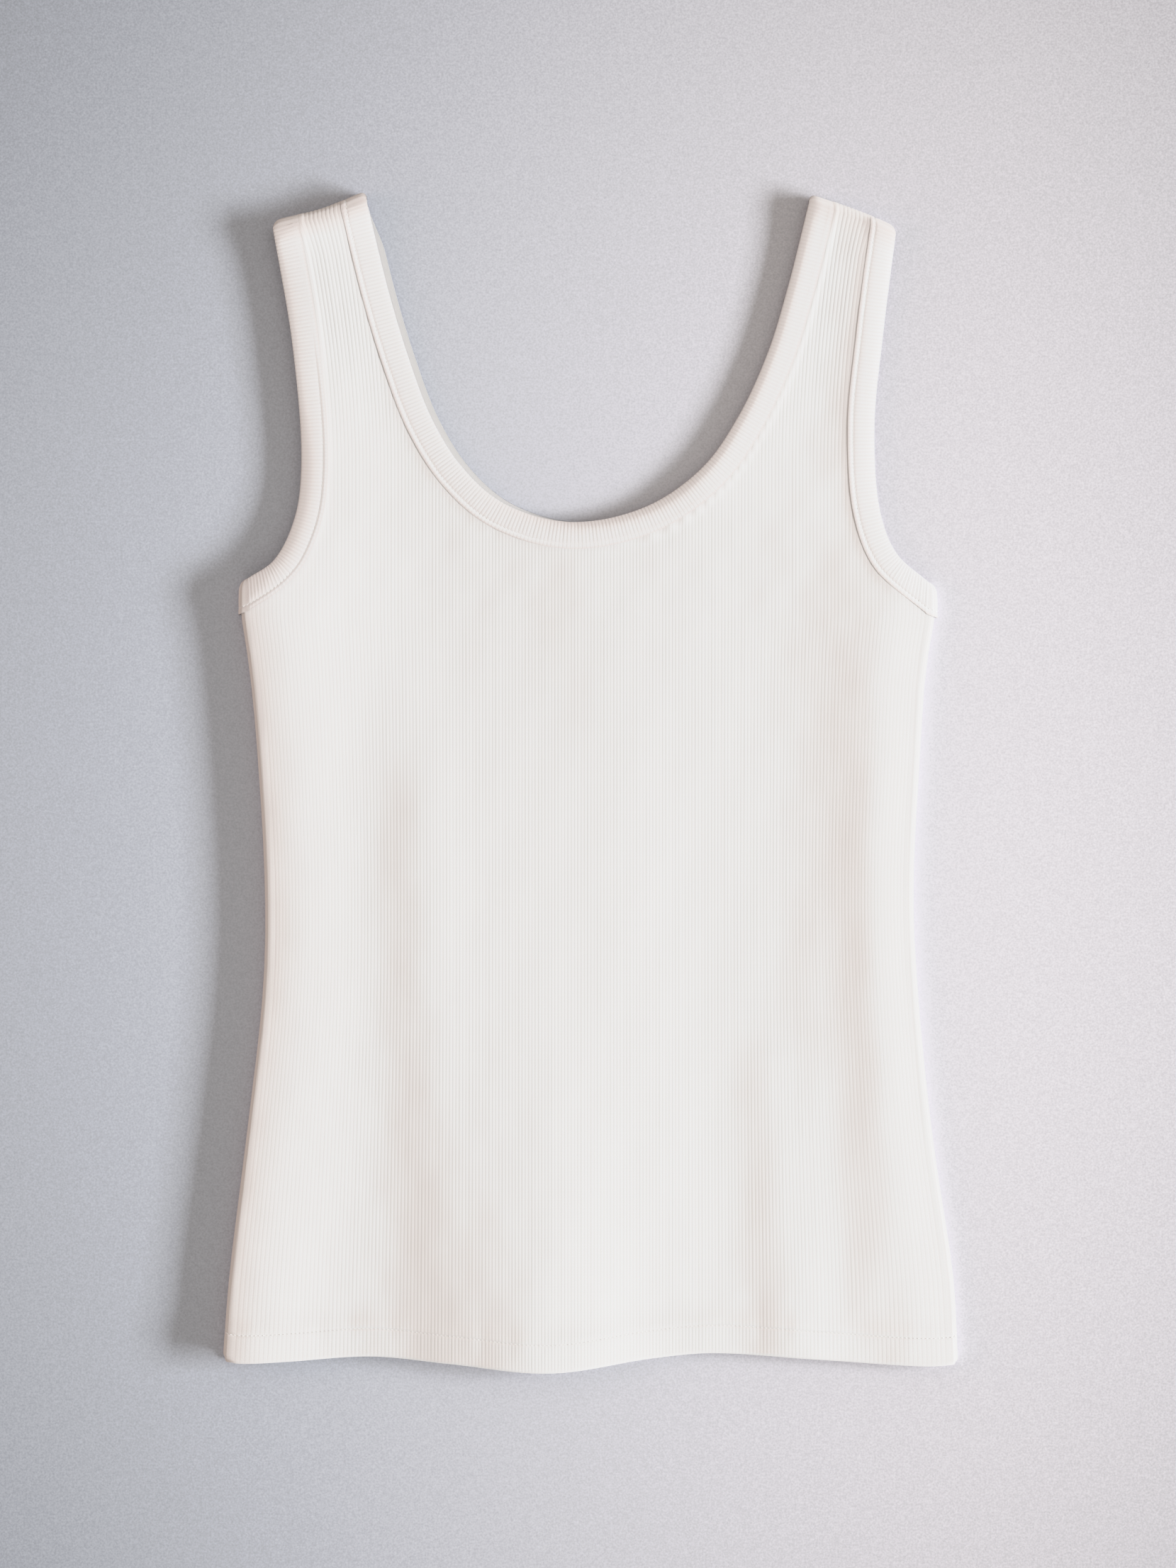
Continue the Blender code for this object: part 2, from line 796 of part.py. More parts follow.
def knit_material(name, colour):
    """Return the material of a piece of knit."""
    material = bpy.data.materials.new(name)
    material.use_nodes = True
    shader = material.node_tree.nodes["Principled BSDF"]
    shader.inputs["Base Color"].default_value = colour
    shader.inputs["Roughness"].default_value = CLOTH_ROUGHNESS
    shader.inputs["Metallic"].default_value = 0.0
    return material


def finish_mesh(name, mesh, colour):
    """Turn a bmesh into a named object with its faces out and its own material."""
    bmesh.ops.recalc_face_normals(mesh, faces=mesh.faces)
    data = bpy.data.meshes.new(name)
    mesh.to_mesh(data)
    mesh.free()
    data.materials.append(knit_material(name + "_knit", colour))
    data.shade_smooth()
    data.set_sharp_from_angle(angle=math.radians(SHARP_ANGLE))
    return bpy.data.objects.new(name, data)


def clear_scene():
    """Remove every object of the scene."""
    for item in list(bpy.data.objects):
        bpy.data.objects.remove(item)


def new_collection(name):
    """Return a new collection under the scene's own."""
    collection = bpy.data.collections.new(name)
    bpy.context.scene.collection.children.link(collection)
    return collection


def main():
    """Build the tank top."""
    clear_scene()
    garment = new_collection("tank_top")
    cutters = new_collection("cutters")
    arms = {side: arm_stations(side) for side in (-1, 1)}
    arm_cutters = [
        build_cutter("right_armhole_cut", arm_cut(arms[-1], -1), cutters),
        build_cutter("left_armhole_cut", arm_cut(arms[1], 1), cutters),
    ]
    front_neck = build_cutter("front_neck_cut", neck_cut(neck_stations()), cutters)
    back_neck = build_cutter("back_neck_cut", neck_cut(back_neck_stations()), cutters)
    front = build_panel("front_panel", FRONT, True)
    back = build_panel("back_panel", BACK, False)
    cut_panel(front, [front_neck] + arm_cutters)
    cut_panel(back, [back_neck] + arm_cutters)
    pieces = [
        front,
        back,
        build_neck_binding(),
        build_arm_binding("right_armhole_binding", -1),
        build_arm_binding("left_armhole_binding", 1),
    ]
    for piece in pieces:
        garment.objects.link(piece)


main()
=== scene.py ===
"""Looks of a women's ribbed tank top that lies flat, face up, on a pale surface.

The frame holds the garment's five solids, and each one gets its knit here: the long ribs of
the body, the cross ribs and the stitched lip of the bindings, the turned-up hem with its row
of stitches, and the soft folds of this lie. +Y points to the shoulders and +Z up. Left and
right in the names are the wearer's, so the left armhole is at +X.

Sizes are in millimetres and are turned into metres when a mesh is made.
"""

import logging
import math
from collections.abc import Callable, Sequence
from dataclasses import dataclass, field
from enum import Enum
from typing import NamedTuple

import bpy
import numpy as np
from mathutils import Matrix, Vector


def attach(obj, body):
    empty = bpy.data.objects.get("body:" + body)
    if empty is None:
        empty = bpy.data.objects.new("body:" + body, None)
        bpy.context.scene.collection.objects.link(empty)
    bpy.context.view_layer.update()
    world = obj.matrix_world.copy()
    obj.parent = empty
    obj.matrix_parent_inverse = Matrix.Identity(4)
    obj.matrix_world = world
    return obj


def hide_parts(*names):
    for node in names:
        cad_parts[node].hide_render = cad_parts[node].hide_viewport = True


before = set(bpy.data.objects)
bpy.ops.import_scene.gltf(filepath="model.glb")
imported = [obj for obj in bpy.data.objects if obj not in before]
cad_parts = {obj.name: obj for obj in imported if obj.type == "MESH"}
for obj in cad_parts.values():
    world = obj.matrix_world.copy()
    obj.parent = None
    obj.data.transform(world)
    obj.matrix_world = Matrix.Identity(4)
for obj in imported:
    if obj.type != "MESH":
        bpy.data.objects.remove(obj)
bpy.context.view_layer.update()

MM = 0.001
COURSE = 0.75
FROM_LAMP = np.array([-0.985, 0.174, 0.0])

Colour = tuple[float, float, float, float]

log = logging.getLogger("tank_top")


class Side(Enum):
    """A side of the garment, as the wearer has it. The value is the sign of X there."""

    RIGHT = -1
    LEFT = 1


class Face(Enum):
    """A layer of the garment. The value is the sign of Z that its outer face looks to."""

    FRONT = 1
    BACK = -1


# ---------------------------------------------------------------- outline of the garment


class SideRow(NamedTuple):
    """Distance of each folded side from the middle line at a height."""

    height: float
    right: float
    left: float


class EdgeRow(NamedTuple):
    """A point of an edge, seen from above."""

    x: float
    height: float


class Strap(NamedTuple):
    """How far a strap leans outward at its top, and how much painted shade its fold gets and how far
    down it reaches.
    """

    side: Side
    lean: float
    painted_shade: float
    painted_shade_reach: float


def edge_rows(*rows: tuple[float, float]) -> tuple[EdgeRow, ...]:
    """Return the rows of an edge, from the x and the height of each."""
    return tuple(EdgeRow(*row) for row in rows)


SIDES = tuple(SideRow(*row) for row in (
    (-327.8, -209.6, 209.8), (-281.3, -205.9, 207.1),
    (-200.4, -196.0, 195.2), (-119.5, -186.9, 187.0), (-58.9, -185.7, 184.5),
    (22.0, -190.3, 188.5), (62.5, -194.2, 191.3), (94.9, -199.0, 196.6),
))

HEM = edge_rows(
    (-209.6, -325.9), (-207.0, -329.0), (-200.0, -330.8), (-173.5, -329.9), (-125.0, -327.0),
    (-81.0, -331.0), (-23.0, -336.3), (35.0, -328.3), (70.0, -325.4), (127.0, -328.9),
    (188.0, -332.9), (206.5, -332.0), (209.8, -329.8),
)

SHOULDERS = {
    Side.RIGHT: edge_rows((-177.0, 321.9), (-153.5, 327.6), (-131.5, 336.5)),
    Side.LEFT: edge_rows((128.0, 335.2), (149.5, 327.9), (170.5, 319.5)),
}

NECK_EDGE = edge_rows(
    (-127.6, 331.6), (-115.3, 280.9), (-104.4, 244.5), (-90.6, 208.1), (-72.8, 179.8),
    (-49.3, 159.6), (-11.3, 149.1), (31.1, 157.6), (63.5, 179.8), (83.7, 208.1), (100.7, 244.5),
    (112.0, 280.9), (124.6, 331.3),
)

ARM_EDGES = {
    Side.RIGHT: edge_rows(
        (-195.7, 116.4), (-180.4, 127.2), (-168.7, 151.5), (-165.0, 183.8), (-169.9, 248.6),
        (-181.0, 315.6),
    ),
    Side.LEFT: edge_rows(
        (193.3, 114.5), (174.7, 131.3), (165.4, 155.5), (162.2, 204.1), (166.7, 252.6),
        (174.2, 313.0),
    ),
}

# Each strap's last two numbers are the painted shade on its shoulder fold and how far down it
# reaches.
STRAPS = (Strap(Side.RIGHT, 15.0, 1.0, 15.0), Strap(Side.LEFT, 12.0, 0.45, 16.0))


# ---------------------------------------------------------------- folds of this lie


class Fold(NamedTuple):
    """A soft ridge from one point to another, with its height at each.

    fade is how many times softer its ends are than its sides.
    """

    name: str
    x_from: float
    y_from: float
    x_to: float
    y_to: float
    spread: float
    height_from: float
    height_to: float
    fade: float = 1.0


class Ridge(NamedTuple):
    """A soft ridge along a folded side: how far in from the side it lies, and its height.

    above is the share of the height that is left in the strap.
    """

    side: Side
    inset: float
    spread: float
    height: float
    above: float


class Ripple(NamedTuple):
    """A slow wave of the cloth: its length, its heading in degrees, its height and start."""

    length: float
    heading: float
    height: float
    start: float


class Pucker(NamedTuple):
    """A short crease across the hem's stitches: its place, its depth and its width."""

    x: float
    depth: float
    width: float


FOLDS = (
    Fold("middle swell", -26.0, -345.0, -30.0, -20.0, 48.0, 4.8, 0.9),
    Fold("chest swell", -12.0, -20.0, 4.0, 85.0, 60.0, 0.9, 0.7),
    Fold("hem ripple", 112.0, -345.0, 104.0, -170.0, 16.0, 0.62, 0.38),
    Fold("right strap", -148.0, 190.0, -150.0, 285.0, 24.0, 0.3, 0.3),
    Fold("left strap", 64.0, 180.0, 108.0, 305.0, 26.0, 0.75, 0.75),
    Fold("left armhole seam", 156.0, 190.0, 165.0, 300.0, 18.0, 0.5, 0.5),
    Fold("right shoulder", -181.0, 322.0, -127.0, 334.0, 20.0, 1.8, 1.8),
    Fold("left shoulder", 125.0, 334.0, 175.0, 320.0, 20.0, 1.8, 1.8),
    Fold("right of the swell", -87.0, -345.0, -92.0, -40.0, 24.0, 1.35, 1.2, 3.0),
    Fold("dip in the swell", -38.0, -240.0, -38.0, -40.0, 16.0, -0.25, -0.12, 3.0),
    Fold("left of the swell", 30.0, -230.0, 26.0, 0.0, 20.0, 0.35, 0.2, 3.0),
    Fold("left ripple", 128.0, -330.0, 127.0, -90.0, 14.0, 0.42, 0.2, 3.0),
    Fold("hem corner", -203.0, -345.0, -196.0, -230.0, 28.0, 0.3, 0.0),
    Fold("beside the swell", -62.0, -345.0, -70.0, -20.0, 36.0, 1.5, 1.15, 2.5),
    Fold("far right of the swell", -120.0, -345.0, -108.0, 20.0, 26.0, 1.2, 0.55, 2.5),
    Fold("top of the swell", 7.0, -345.0, 9.0, -90.0, 20.0, 0.55, 0.4, 3.0),
    Fold("far left of the swell", 48.0, -220.0, 46.0, -40.0, 24.0, 0.45, 0.3, 3.0),
    Fold("left side swell", 165.0, -262.0, 157.0, 80.0, 24.0, 0.8, 0.95, 2.5),
)

SIDE_RIDGES = (
    Ridge(Side.RIGHT, 12.0, 58.0, 4.3, 0.5),
    Ridge(Side.LEFT, 20.0, 16.0, 0.45, 0.0),
)

RIPPLES = (
    Ripple(61.0, 8.0, 0.04, 0.3),
    Ripple(47.0, 62.0, 0.02, 2.1),
    Ripple(34.0, -23.0, 0.02, 4.4),
    Ripple(23.0, 28.0, 0.012, 1.2),
    Ripple(19.0, -41.0, 0.01, 5.3),
)

PUCKERS = tuple(Pucker(*row) for row in (
    (-187.0, 0.06, 5.0), (-155.0, 0.07, 4.0), (-137.0, 0.05, 4.0), (-114.0, 0.06, 5.0),
    (-62.0, 0.07, 4.0), (-45.0, 0.06, 5.0), (-13.0, 0.05, 5.0), (38.0, 0.04, 5.0),
    (96.0, 0.06, 4.0), (112.0, 0.06, 4.0), (189.0, 0.06, 5.0),
))


# ---------------------------------------------------------------- small mathematics


def smooth_step(value: np.ndarray | float) -> np.ndarray:
    """Ease from 0 to 1 as the value goes from 0 to 1."""
    value = np.clip(value, 0.0, 1.0)
    return value * value * (3.0 - 2.0 * value)


def bump_at(gap: np.ndarray | float, spread: float) -> np.ndarray:
    """Return a soft bump, 1 where the gap is 0 and near 0 past two spreads."""
    return np.exp(-((gap / spread) ** 2))


class Fade(NamedTuple):
    """A smooth change from 0 to 1: where it starts, and how far it runs."""

    start: float
    run: float

    def at(self, value: np.ndarray | float) -> np.ndarray:
        """Return how far the change has come at a value."""
        return smooth_step((value - self.start) / self.run)


class SmoothTable:
    """A smooth curve through the rows of a table, level past its ends."""

    def __init__(self, keys: Sequence[float], values: Sequence[float]) -> None:
        """Work out the curve's slope at each row.

        Args:
            keys: the rows' keys, in rising order.
            values: their values.
        """
        self.keys = np.array(keys, float)
        self.values = np.array(values, float)
        low = np.maximum(np.arange(len(keys)) - 1, 0)
        high = np.minimum(np.arange(len(keys)) + 1, len(keys) - 1)
        self.slopes = (self.values[high] - self.values[low]) / (self.keys[high] - self.keys[low])

    def at(self, key: np.ndarray | float) -> np.ndarray:
        """Read the curve.

        Args:
            key: one or more keys.

        Returns:
            The curve's value at each key.
        """
        key = np.clip(key, self.keys[0], self.keys[-1])
        i = np.clip(np.searchsorted(self.keys, key, side="right") - 1, 0, len(self.keys) - 2)
        width = self.keys[i + 1] - self.keys[i]
        t = (key - self.keys[i]) / width
        step = self.values[i + 1] - self.values[i]
        start = t * (1.0 - t) ** 2 * width * self.slopes[i]
        end = t * t * (1.0 - t) * width * self.slopes[i + 1]
        return self.values[i] + step * smooth_step(t) + start - end


def height_on(rows: Sequence[EdgeRow], x: np.ndarray) -> np.ndarray:
    """Return the height of the smooth curve through an edge's rows, at each x."""
    return SmoothTable([row.x for row in rows], [row.height for row in rows]).at(x)


def curve_through(rows: Sequence[EdgeRow], step: float) -> np.ndarray:
    """Return points on a centripetal curve through the rows of an edge.

    Args:
        rows: the edge's rows, in order.
        step: about how far apart the points lie.

    Returns:
        The points as an array of x and y.
    """
    points = np.array([(row.x, row.height) for row in rows])
    points = np.vstack([2 * points[0] - points[1], points, 2 * points[-1] - points[-2]])
    curve = []
    for i in range(1, len(points) - 2):
        near = points[i - 1 : i + 3]
        gaps = np.linalg.norm(np.diff(near, axis=0), axis=1)
        knots = np.concatenate([[0.0], np.cumsum(np.sqrt(gaps))])
        count = max(2, round(gaps[1] / step))
        t = knots[1] + (knots[2] - knots[1]) * np.arange(count)[:, None] / count
        level = [np.broadcast_to(point, (count, 2)) for point in near]
        for reach in (1, 2, 3):
            level = [
                blend(level[k], level[k + 1], knots, k, reach, t) for k in range(4 - reach)
            ]
        curve.append(level[0])
    curve.append(points[-2:-1])
    return np.vstack(curve)


def blend(
    low: np.ndarray, high: np.ndarray, knots: np.ndarray, place: int, reach: int, t: np.ndarray
) -> np.ndarray:
    """Blend two neighbouring points of one level of a centripetal curve.

    Args:
        low: the points before.
        high: the points after.
        knots: the four knots of this stretch.
        place: which pair of the level this is.
        reach: the level, from 1 to 3.
        t: the parameters.

    Returns:
        The blended points.
    """
    start, end = (knots[1], knots[2]) if reach == 3 else (knots[place], knots[place + reach])
    share = (t - start) / (end - start)
    return low + (high - low) * share


def lengths_along(points: np.ndarray) -> np.ndarray:
    """Return how far along a line each of its points lies."""
    steps = np.linalg.norm(np.diff(points, axis=0), axis=1)
    return np.concatenate([[0.0], np.cumsum(steps)])


def read_along(at: np.ndarray, along: np.ndarray, table: np.ndarray) -> np.ndarray:
    """Return a table's rows read at some lengths, where along says how far each row lies."""
    return np.column_stack([np.interp(at, along, column) for column in table.T])


def spaced(points: np.ndarray, count: int) -> np.ndarray:
    """Return a line's points read again at even steps, count steps in all."""
    along = lengths_along(points)
    return read_along(np.linspace(0.0, along[-1], count + 1), along, points)


def unit(vectors: np.ndarray) -> np.ndarray:
    """Return vectors at unit length."""
    return vectors / np.linalg.norm(vectors, axis=-1, keepdims=True)


@dataclass(frozen=True)
class Softness:
    """How softly cotton shades.

    Light spreads inside cotton, so its tight folds shade far more softly than their shape,
    and a side that faces the lamp has no hard bright rim.
    """

    fold_ease: float = 2.0
    upright_turn: float = 4.0
    lit_slope: float = 0.12
    lit_flatten: float = 0.75
    lit_raise: float = 1.5
    underside: float = -0.1

    def ease_folds(self, normals: np.ndarray) -> np.ndarray:
        """Turn the ways out of steep places towards the flat.

        Args:
            normals: the way out of the cloth at each place.

        Returns:
            The eased ways out.
        """
        up = normals[..., 2]
        eased = normals.copy()
        way = np.clip(self.upright_turn * up, -1.0, 1.0)
        eased[..., 2] += self.fold_ease * (1.0 - np.abs(up)) * way
        return unit(eased)

    def spread_light(self, normals: np.ndarray) -> np.ndarray:
        """Turn up the ways out of a side that faces the lamp.

        Args:
            normals: the way out of the cloth at each place.

        Returns:
            The ways out, changed where they lean far to the lamp.
        """
        over = np.maximum(normals[..., 0] - self.lit_slope, 0.0)
        over = over * (normals[..., 2] > self.underside)
        spread = normals.copy()
        spread[..., 0] -= self.lit_flatten * over
        spread[..., 2] += self.lit_raise * over
        return unit(spread)


COTTON = Softness()


# ---------------------------------------------------------------- how the garment lies


@dataclass(frozen=True)
class Lie:
    """How the garment lies: its outline, its folds and the height of its layers."""

    cloth: float = 1.2
    hem_thickness: float = 2.2
    binding_thickness: float = 2.2
    seam_gap: float = 0.3
    hem_depth: float = 16.0
    hem_fade: float = 12.0
    body_loft: float = 2.0
    binding_loft: float = 0.42
    roll: float = 5.0
    side_seam: float = 3.0
    right_side_fullness: float = 0.42
    left_side_fullness: float = 0.62
    shoulder_fullness: float = 0.55
    shoulder_seam: float = 3.4
    strap_foot: float = 181.0
    strap_top: float = 330.0
    strap_power: float = 1.8
    strap_middle: float = 118.0
    rib_rest: float = -59.0
    side_pull: float = 4.0
    ridge_fade: Fade = Fade(95.0, 90.0)
    # painted shade: a darker, warmer tint where the cloth turns from the lamp, along the right side
    # and at the shoulder folds
    turned_painted_shade: float = 11.0
    most_turned_painted_shade: float = 0.5
    side_painted_shade: float = 0.5
    side_painted_shade_reach: float = 24.0
    side_painted_shade_fade: Fade = Fade(110.0, 15.0)
    strap_painted_shade_gain: float = 1.55
    heights: tuple[float, ...] = tuple(row.height for row in SIDES)

    def side_line(self, side: np.ndarray, y: np.ndarray) -> np.ndarray:
        """Find the folded side edges.

        Args:
            side: the side of each place, -1 or 1.
            y: the places' height.

        Returns:
            x of the side's edge at each place.
        """
        right = SmoothTable(self.heights, [row.right for row in SIDES]).at(y)
        left = SmoothTable(self.heights, [row.left for row in SIDES]).at(y)
        return np.where(side < 0, right, left)

    def hem_line(self, x: np.ndarray) -> np.ndarray:
        """Return the height of the hem's lower edge."""
        return height_on(HEM, x)

    def shoulder_line(self, side: Side, x: np.ndarray) -> np.ndarray:
        """Find the fold across a strap, carried on straight past its rows.

        Args:
            side: the strap's side.
            x: the places' x.

        Returns:
            The height of the fold at each place.
        """
        rows = SHOULDERS[side]
        low, high = rows[0], rows[-1]
        slope = (high.height - low.height) / (high.x - low.x)
        beyond = np.minimum(x - low.x, 0.0) + np.maximum(x - high.x, 0.0)
        return height_on(rows, x) + beyond * slope

    def lift(self, x: np.ndarray, y: np.ndarray) -> np.ndarray:
        """Work out the folds and the ridges along the sides.

        Args:
            x: the places' x.
            y: the places' y.

        Returns:
            How far they lift the front layer at each place.
        """
        height = np.zeros(np.broadcast(x, y).shape)
        for fold in FOLDS:
            run = np.array([fold.x_to - fold.x_from, fold.y_to - fold.y_from])
            length = math.hypot(*run)
            dx, dy = x - fold.x_from, y - fold.y_from
            reached = (dx * run[0] + dy * run[1]) / length**2
            along = np.clip(reached, 0.0, 1.0)
            beyond = (reached - along) * length / fold.fade
            gap = np.hypot((dx * run[1] - dy * run[0]) / length, beyond)
            top = fold.height_from + along * (fold.height_to - fold.height_from)
            height = height + top * bump_at(gap, fold.spread)
        for ridge in SIDE_RIDGES:
            sign = ridge.side.value
            inward = np.maximum(sign * (self.side_line(np.array(sign), y) - x), 0.0)
            share = 1.0 - (1.0 - ridge.above) * self.ridge_fade.at(y)
            height = height + ridge.height * share * bump_at(inward - ridge.inset, ridge.spread)
        return height

    def ripples(self, x: np.ndarray, y: np.ndarray) -> np.ndarray:
        """Work out the slight unevenness of the cloth.

        Args:
            x: the places' x.
            y: the places' y.

        Returns:
            Its height at each place.
        """
        height = np.zeros(np.broadcast(x, y).shape)
        for ripple in RIPPLES:
            turn = math.radians(ripple.heading)
            way = (x * math.cos(turn) + y * math.sin(turn)) / ripple.length
            height = height + ripple.height * np.sin(math.tau * way + ripple.start)
        return height

    def front_top(self, x: np.ndarray, y: np.ndarray) -> np.ndarray:
        """Work out the height of the front panel's outer face between its ribs.

        Args:
            x: the places' x.
            y: the places' y.

        Returns:
            The height at each place.
        """
        above = (y - self.hem_line(x) - self.hem_depth) / self.hem_fade
        hem = (self.hem_thickness - self.cloth) * (1.0 - smooth_step(above))
        return 2.0 * self.cloth + self.seam_gap + self.body_loft + hem + self.lift(x, y)

    def binding_seat(self, x: np.ndarray, y: np.ndarray) -> np.ndarray:
        """Return the height of the inner face of a front binding."""
        return self.binding_thickness + self.seam_gap + self.binding_loft + self.lift(x, y)

    def painted_shade(self, x: np.ndarray, y: np.ndarray, normals: np.ndarray) -> np.ndarray:
        """Return the painted shade of the cotton, from 0 to 1.

        This is painted shade: a darker, warmer tint, set by the lamp's direction, where the cloth
        turns from the lamp, along the right side and at the shoulder folds.

        Args:
            x: the places' x.
            y: the places' y.
            normals: the way out of the cloth at each place.

        Returns:
            The painted shade at each place of the front, and 0 on the back.
        """
        turned = self.turned_painted_shade * (normals @ FROM_LAMP)
        turned = np.clip(turned, 0.0, self.most_turned_painted_shade)
        inset = (x - self.side_line(np.array(-1), y)) / self.side_painted_shade_reach
        side = self.side_painted_shade * np.clip(1.0 - inset, 0.0, 1.0)
        side = side * (1.0 - self.side_painted_shade_fade.at(y))
        over = np.zeros(x.shape)
        for strap in STRAPS:
            short = (self.shoulder_line(strap.side, x) - y) / strap.painted_shade_reach
            here = strap.painted_shade * np.clip(self.strap_painted_shade_gain * (1.0 - short), 0.0, 1.0)
            over = over + np.where(strap.side.value * x > 0.0, here, 0.0)
        return np.clip(turned + side + over, 0.0, 1.0) * (normals[..., 2] > 0.0)

    def side_fullness(self, side: np.ndarray) -> np.ndarray:
        """Return how round the folds at the sides are, lower where they are squarer."""
        return np.where(side < 0, self.right_side_fullness, self.left_side_fullness)

    def roll_arc(self) -> float:
        """Return the length of cloth in the quarter turn of a side fold."""
        return 0.25 * math.pi * (self.roll + self.side_seam)

    def rib_way(self, share: np.ndarray, y: np.ndarray) -> np.ndarray:
        """Measure the cloth from the middle line to a rib.

        Ribs run straight up the middle and follow the side seams near the sides.

        Args:
            share: each rib's place, from -1 at the right side seam to 1 at the left one.
            y: the height at which it is measured.

        Returns:
            The length of cloth.
        """
        side = np.where(share < 0, -1, 1)
        fold = self.roll_arc() - self.roll
        rest = np.abs(self.side_line(side, np.array(self.rib_rest))) + fold
        here = np.abs(self.side_line(side, y)) + fold
        return np.abs(share) * rest + np.abs(share) ** self.side_pull * (here - rest)

    def strap_lean(self, side: np.ndarray, height: np.ndarray, way: np.ndarray) -> np.ndarray:
        """Work out how far a strap leans outward, where its ribs fan out a little.

        Args:
            side: the side of each place, -1 or 1.
            height: the places' height.
            way: the length of cloth from the middle line to each place.

        Returns:
            How far each place moves in x.
        """
        lean = {strap.side.value: strap.lean for strap in STRAPS}
        most = np.where(side < 0, lean[-1], lean[1])
        share = np.maximum(height - self.strap_foot, 0.0) / (self.strap_top - self.strap_foot)
        return side * most * share**self.strap_power * way / self.strap_middle


# ---------------------------------------------------------------- seams


@dataclass
class Seam:
    """A line along which a panel is sewn to a binding.

    points run along the line, and body_turn is 1 where the panel lies to their left.
    """

    points: np.ndarray
    body_turn: int

    def measure(self, x: np.ndarray, y: np.ndarray) -> tuple[np.ndarray, np.ndarray]:
        """Measure places against the seam.

        Args:
            x: the places' x.
            y: the places' y.

        Returns:
            How far each place lies from the seam, positive on the panel, and how much the
            seam runs along the ribs at its nearest point, from 0 to 1.
        """
        nearest = np.full(x.shape, np.inf)
        clear = np.zeros(x.shape)
        along_ribs = np.zeros(x.shape)
        for start, end in zip(self.points, self.points[1:]):
            run = end - start
            length = math.hypot(*run)
            dx = x - start[0]
            dy = y - start[1]
            t = np.clip((dx * run[0] + dy * run[1]) / length**2, 0.0, 1.0)
            gap = np.hypot(dx - t * run[0], dy - t * run[1])
            turn = np.sign(run[0] * dy - run[1] * dx) * self.body_turn
            closer = gap < nearest
            nearest = np.where(closer, gap, nearest)
            clear = np.where(closer, gap * turn, clear)
            along_ribs = np.where(closer, abs(run[1]) / length, along_ribs)
        return clear, along_ribs


def measure_seams(
    seams: Sequence[Seam], x: np.ndarray, y: np.ndarray
) -> tuple[np.ndarray, np.ndarray]:
    """Measure places against several seams, and keep the reading of the nearest one.

    Args:
        seams: the seams round one panel.
        x: the places' x.
        y: the places' y.

    Returns:
        The same two readings as Seam.measure gives.
    """
    readings = [seam.measure(x, y) for seam in seams]
    clear = readings[0][0]
    along_ribs = readings[0][1]
    for other, other_ribs in readings[1:]:
        lower = other < clear
        clear = np.where(lower, other, clear)
        along_ribs = np.where(lower, other_ribs, along_ribs)
    return clear, along_ribs


# ---------------------------------------------------------------- bindings


class SectionRow(NamedTuple):
    """A point of a binding's section.

    across is its distance from the free edge, rise its height above the inner face, ribbed
    how much of a cross rib shows there, calm how evenly it shades, and lip how far the
    stitched lip lifts it.
    """

    across: float
    rise: float
    ribbed: float
    calm: float
    lip: float = 0.0


BINDING_SECTION = tuple(SectionRow(*row) for row in (
    (0.0, 1.1, 0.3, 0.8),
    (0.12, 1.6, 0.8, 0.8),
    (0.45, 1.98, 1.0, 0.7),
    (1.1, 2.16, 1.0, 0.5),
    (2.2, 2.24, 1.0, 0.2),
    (3.6, 2.27, 1.0, 0.0),
    (5.5, 2.28, 1.0, 0.0),
    (8.5, 2.28, 1.0, 0.0),
    (10.8, 2.27, 1.0, 0.2, -0.04),
    (11.8, 2.26, 0.8, 0.3, -0.09),
    (12.15, 2.26, 0.5, 0.3, -0.17),
    (12.45, 2.26, 0.3, 0.3, -0.25),
    (12.75, 2.26, 0.4, 0.4, -0.14),
    (13.3, 2.27, 0.6, 0.4, 0.0),
    (14.0, 2.26, 0.7, 0.5, 0.05),
    (14.7, 2.22, 0.7, 0.6, 0.05),
    (15.15, 2.16, 0.4, 0.7, 0.03),
    (15.4, 2.09, 0.0, 0.9),
    (15.35, 2.05, 0.0, 0.9),
    (14.3, 2.04, 0.0, 0.0),
    (14.2, 0.0, 0.0, 0.0),
    (2.0, 0.0, 0.0, 0.0),
    (0.9, 0.0, 0.0, 0.0),
    (0.25, 0.45, 0.0, 0.5),
))
ACROSS, RISE, RIBBED, CALM, LIFTED = np.array(BINDING_SECTION).T
TOP_ROW = 6
GROOVE_ROW = 11
LIP_ROW = 17
INSIDE_ROW = 21
OUTSIDE = np.arange(len(BINDING_SECTION)) <= LIP_ROW


@dataclass
class Stations:
    """Places along a binding's free edge, with the way across the band at each."""

    edge: np.ndarray
    across: np.ndarray

    def at(self, distance: float) -> np.ndarray:
        """Return the line that lies a distance in from the free edge."""
        width = np.linalg.norm(self.across, axis=1, keepdims=True)
        return self.edge + self.across * distance / width

    def part(self, places: slice) -> "Stations":
        """Return some of the stations."""
        return Stations(self.edge[places], self.across[places])


@dataclass(frozen=True)
class Turn:
    """How a band turns over a folded edge.

    reach is the plan direction in which the fold stands out, level gives how far a point
    lies before the fold, and fullness is lower where the fold is squarer.
    """

    reach: tuple[float, float]
    level: Callable[[np.ndarray, np.ndarray], np.ndarray]
    fullness: float


class Stretch(NamedTuple):
    """Part of a ring: its sections, their phase in the cross ribs, their lip and their painted shade.
    """

    points: np.ndarray
    phases: np.ndarray
    lip: np.ndarray
    painted_shade: np.ndarray


class Character(NamedTuple):
    """How much of its crown, of its lip and of the painted shade on its edge a band has at a place.
    """

    crown: np.ndarray
    lip: np.ndarray
    painted_shade: np.ndarray


